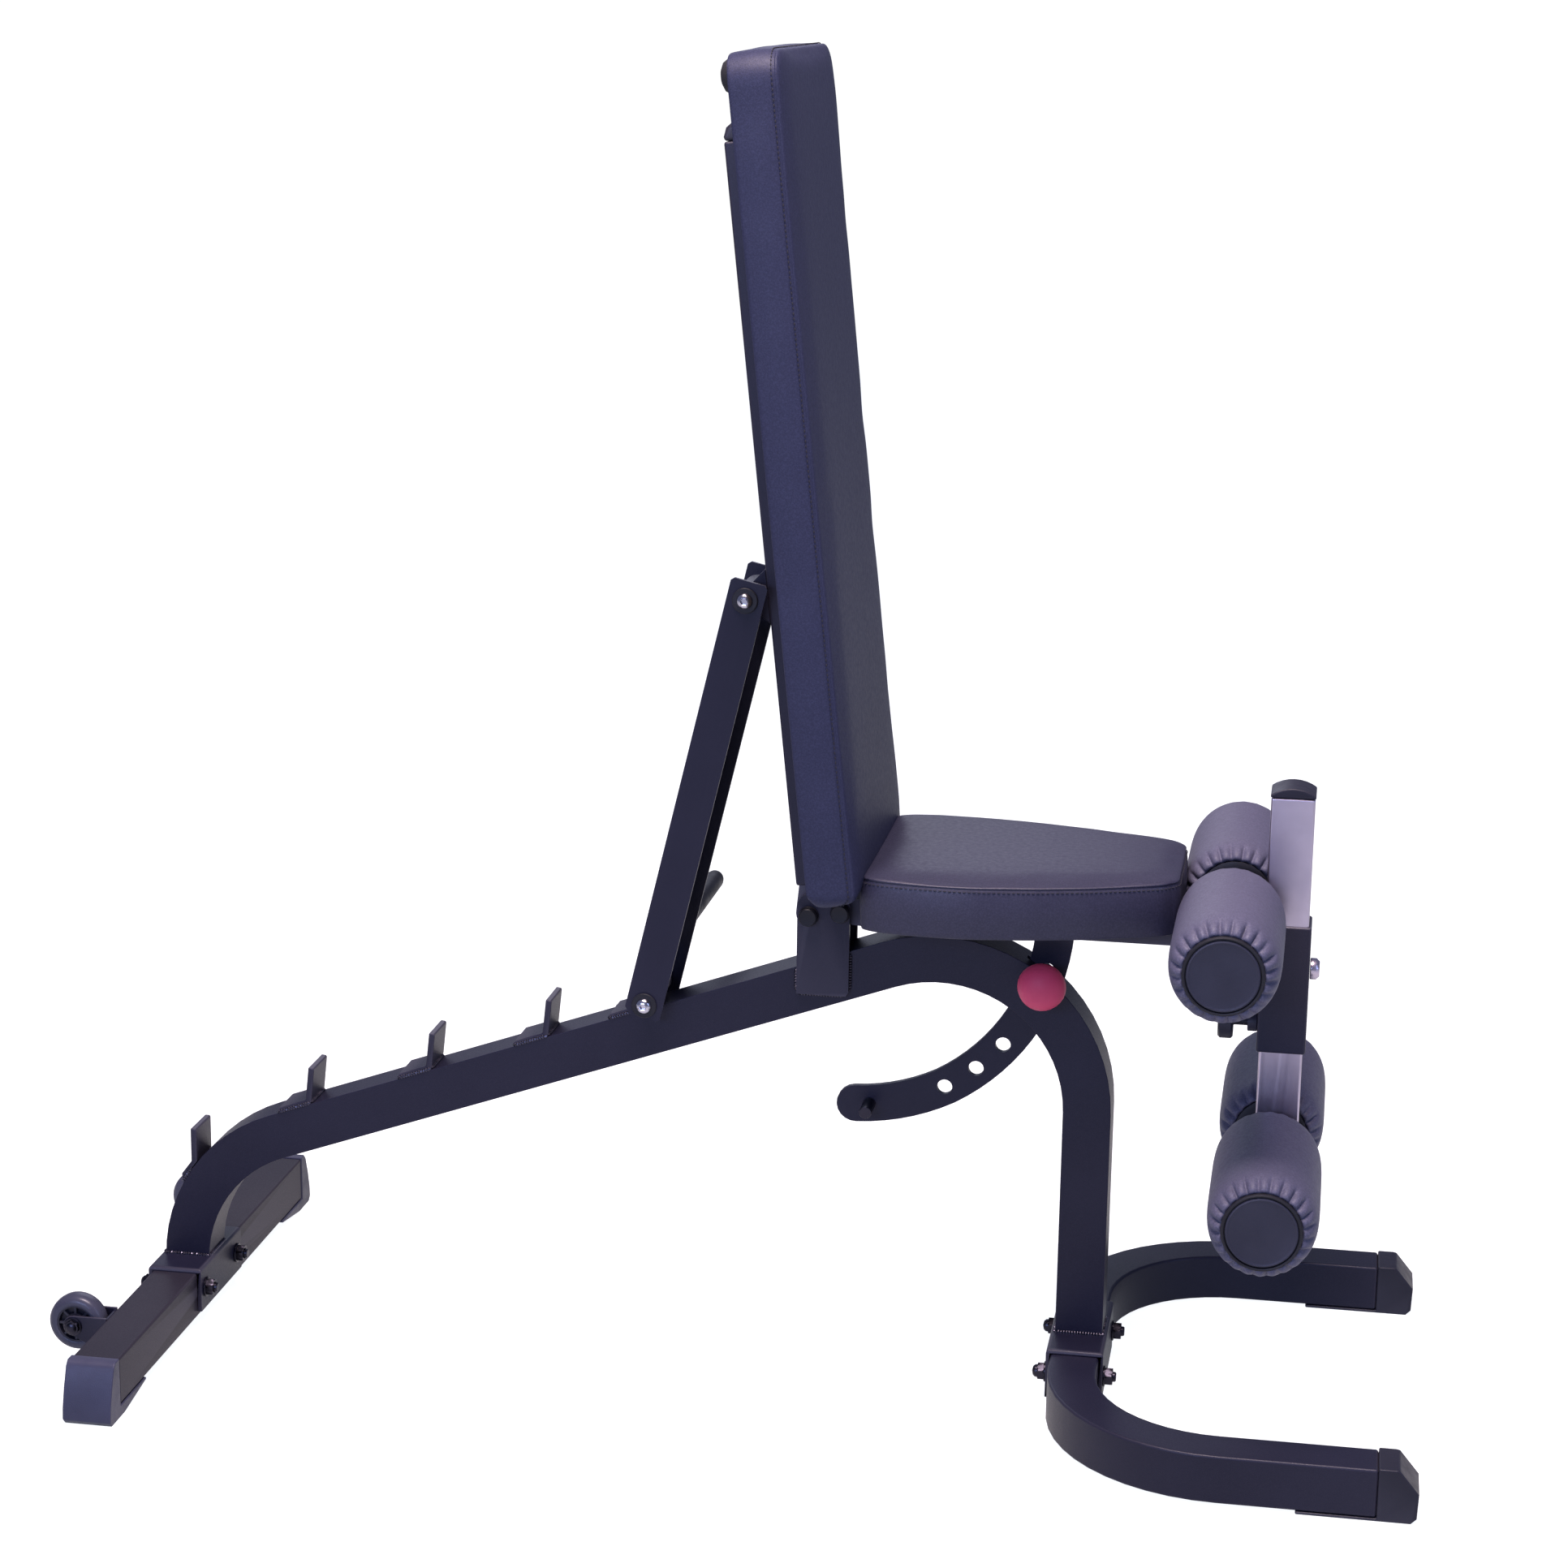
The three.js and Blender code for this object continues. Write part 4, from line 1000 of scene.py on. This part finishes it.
def stitches(name, loop):
    """Short thread capsules along a closed line."""
    line = [Vector(p) for p in loop] + [Vector(loop[0])]
    total = sum((b - a).length for a, b in zip(line, line[1:]))
    count = int(total / (STITCH["pitch"] / 1000))
    sides = STITCH["sides"]
    verts, faces = [], []
    seg, done = 0, 0.0
    for i in range(count):
        d = total * i / count
        while done + (line[seg + 1] - line[seg]).length < d:
            done += (line[seg + 1] - line[seg]).length
            seg += 1
        step = line[seg + 1] - line[seg]
        t = step.normalized()
        p = line[seg] + t * (d - done)
        side = t.cross(Vector((0.2, 0.9, 0.3))).normalized()
        other = side.cross(t)
        base = len(verts)
        for h, share in ((-0.5, 0.35), (-0.3, 1.0), (0.3, 1.0), (0.5, 0.35)):
            centre, r = p + t * (h * STITCH["length"] / 1000), share * STITCH["r"] / 1000
            for k in range(sides):
                a = 2 * math.pi * k / sides
                verts.append(centre + (side * math.cos(a) + other * math.sin(a)) * r)
        for low in range(base, base + 3 * sides, sides):
            for k in range(sides):
                j = (k + 1) % sides
                faces.append((low + k, low + j, low + sides + j, low + sides + k))
        faces.append(tuple(base + k for k in range(sides)))
        faces.append(tuple(base + 3 * sides + k for k in range(sides)))
    return add(name, verts, faces, THREAD, 60)


BACK = {"rear": -170.3, "low": 512.5, "high": 1266.0, "half": 146.8, "thick": 45.3}
WRAP = (20.0, 9.0)


def back_place(a, b, c):
    """The lower rear edge of the back cushion turns in towards the board."""
    u, v = 1 - (b - BACK["low"]) / WRAP[0], 1 - c / WRAP[1]
    if u > 0 and v > 0:
        v = min(1.0, v)
        u, v = u * math.sqrt(1 - v * v / 2), v * math.sqrt(1 - u * u / 2)
        b, c = BACK["low"] + WRAP[0] * (1 - u), WRAP[1] * (1 - v)
    return on_back(BACK["rear"] + c, b, a)


back_pad, kinds, line = pad(
    "back_cushion", BACK_VINYL, lambda b: BACK["half"], BACK["low"], BACK["high"], 12, 27, BACK["thick"],
    back_place, ease=12.0, seam=3.4, roll=9.0, crown=2.2,
)
inflate(back_pad, kinds, 2.0, 0.0028, 0.004, 5)
refine(back_pad)
give(back_pad, "backrest", "vinyl", "back_pad")
back_thread = give(stitches("back_stitches", line), "backrest", "vinyl")
along_back = tuple((on_back(0, 1000) - on_back(0, 0)).normalized())
top_of_back = tuple(on_back(BACK["rear"], BACK["high"]))
for soft in (back_pad, back_thread):
    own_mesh(soft)

SEAT = {"rear": -182.0, "front": 101.5, "low": 466.3, "thick": 49.7}
WIDTHS = (
    (-180, 117), (-165, 124), (-140, 128.6), (-100, 129.8), (-80, 129), (-30, 120.5), (20, 107.5),
    (70, 89), (99, 76),
)
INSET = 1.2


def seat_half(x):
    """Half the width of the seat at a place along it, from its outline's corners."""
    for (x0, w0), (x1, w1) in zip(WIDTHS, WIDTHS[1:]):
        if x <= x1:
            t = max(0.0, (x - x0) / (x1 - x0))
            return w0 + (w1 - w0) * t - INSET
    return WIDTHS[-1][1] - INSET


seat_pad, kinds, line = pad(
    "seat_cushion", SEAT_WARM_LIT_VINYL, seat_half, SEAT["rear"], SEAT["front"], 7, 17, SEAT["thick"],
    lambda a, b, c: P(b, -a, SEAT["low"] + c), seam=2.0, roll=6.0, crown=3.0,
)
inflate(seat_pad, kinds, 2.5, 0.0035, 0.007, 4)
refine(seat_pad)
give(seat_pad, "seat", "vinyl", "seat_pad")
give(stitches("seat_stitches", line), "seat", "vinyl")
polish("seat_board", PLY, "wood", 0.8, 1)


def panel(name, mat, y_half, s0, s1, n0, n1):
    """A flat board with rounded corners, lying against the rear of the back rest."""
    r, steps = 14, 5
    y1, high, low = y_half - r, s1 - r, s0 + r
    line = []
    for cy, cs, a0 in ((y1, high, 0), (-y1, high, 90), (-y1, low, 180), (y1, low, 270)):
        for k in range(steps + 1):
            a = math.radians(a0 + 90 * k / steps)
            line.append((cy + r * math.cos(a), cs + r * math.sin(a)))
    n = len(line)
    rows = ((n1, 0.0), (n0 + 1.0, 0.0), (n0 + 0.3, -0.3), (n0, -1.0))
    verts, faces = [], []
    for nn, grow in rows:
        for y, s in line:
            m = Vector((y, s - (s0 + s1) / 2)).normalized() * grow
            verts.append(on_back(nn, s + m.y, y + m.x))
    for i in range(len(rows) - 1):
        for k in range(n):
            j = (k + 1) % n
            faces.append((i * n + k, i * n + j, (i + 1) * n + j, (i + 1) * n + k))
    faces.append(tuple(range(n)))
    faces.append(tuple((len(rows) - 1) * n + k for k in range(n)))
    return add(name, verts, faces, mat, 35)


give(panel("back_panel", PLY, 133, 552, 1248, -172.0, -160), "backrest", "wood", "back_board")


# ---------------------------------------------------------------- foam rollers
ROLLER = {"start": 27.0, "end": 227.0, "r": 49.0, "pleats": 24, "gathered": 17, "flat": 30}
END_ROUND = (
    (6, 0), (6, 34), (3, 35), (1.2, 36.2), (0.6, 37.6), (1.4, 39.4), (3, 41.2), (5, 42.8), (7.6, 44.2),
    (10.6, 45.5), (14.5, 46.7), (19.5, 47.7), (26, 48.5), (34, 49.0), (48, 49.4), (70, 49.5),
)
RING = ((-4, 0), (-4, 34.6), (0, 35.8), (2.2, 35.4), (3.0, 34.2), (2.6, 33), (0.8, 32.6), (0.4, 0))
FACE = ((-1, 0), (-1, 31.8), (1.7, 32), (2.7, 31.4), (3.1, 30.4), (2.7, 29.4), (2.5, 28), (2.7, 10), (2.7, 0))
COLLAR = ((-0.5, 0), (-0.5, 16), (0.5, 30), (1.5, 34), (6, 34), (6, 0))


def gathered(name, sign):
    """The creases of a cover that is drawn in at both ends: how each point of its rings moves."""
    rng = random.Random(name)
    pleats = ROLLER["pleats"]
    swing = [rng.uniform(-0.05, 0.05) for _ in range(pleats)]
    depth = [rng.uniform(0.75, 1.2) for _ in range(pleats)]
    middle = (ROLLER["start"] + ROLLER["end"]) / 2

    def ripple(r, h, a):
        h = abs(h)
        u = a / (2 * math.pi) * pleats
        k = int(u) % pleats
        near_end = min(abs(h - ROLLER["start"]), abs(h - ROLLER["end"]))
        if r < ROLLER["flat"] or near_end > ROLLER["gathered"]:
            return r, sign * h
        fold = 1.0 - abs(math.cos(math.pi * (u + swing[k]))) ** 0.5
        fade = math.sin(math.pi * min(1.0, (1 - near_end / ROLLER["gathered"]) * 0.7)) ** 1.2
        deep = fold * fade * depth[k]
        return r - 3.4 * deep, sign * (h + 4.4 * deep * (-1 if h > middle else 1))

    return ripple


def roller(name, body, centre, sign):
    """A foam roller in a sewn cover that is gathered at both ends, with a moulded disc outside."""
    start, end = ROLLER["start"], ROLLER["end"]
    c = (centre[0], 0, centre[1])
    inner = [(start + h, r) for h, r in END_ROUND]
    outer = [(end - h, r) for h, r in reversed(END_ROUND)]
    whole = inner + [((start + end) / 2, ROLLER["r"] + 0.5)] + outer
    creases = gathered(name, sign)
    cover = turned(name + "_cover", along(0, sign, whole), ROLLER_LIT_VINYL, c, "Y", 240, 180, creases)
    give(cover, body, "vinyl", name)
    tip = sign * (end - 0.3)
    parts = (
        turned(name + "_rim", along(tip, sign, RING), RIM, c, "Y", 64, 40),
        turned(name + "_disc", along(tip, sign, FACE), DISC, c, "Y", 64, 30),
        turned(name + "_collar", along(sign * start, sign, COLLAR), RIM, c, "Y", 48, 30),
    )
    for part in parts:
        give(part, body, "black_plastic")


for level in ("upper", "lower"):
    for side, sign in (NEAR, FAR):
        x, _, z = mid(f"{level}_roller_{side}")
        roller(f"{level}_roller_{side}", f"roller_{level}_{side}", (x, z), sign)
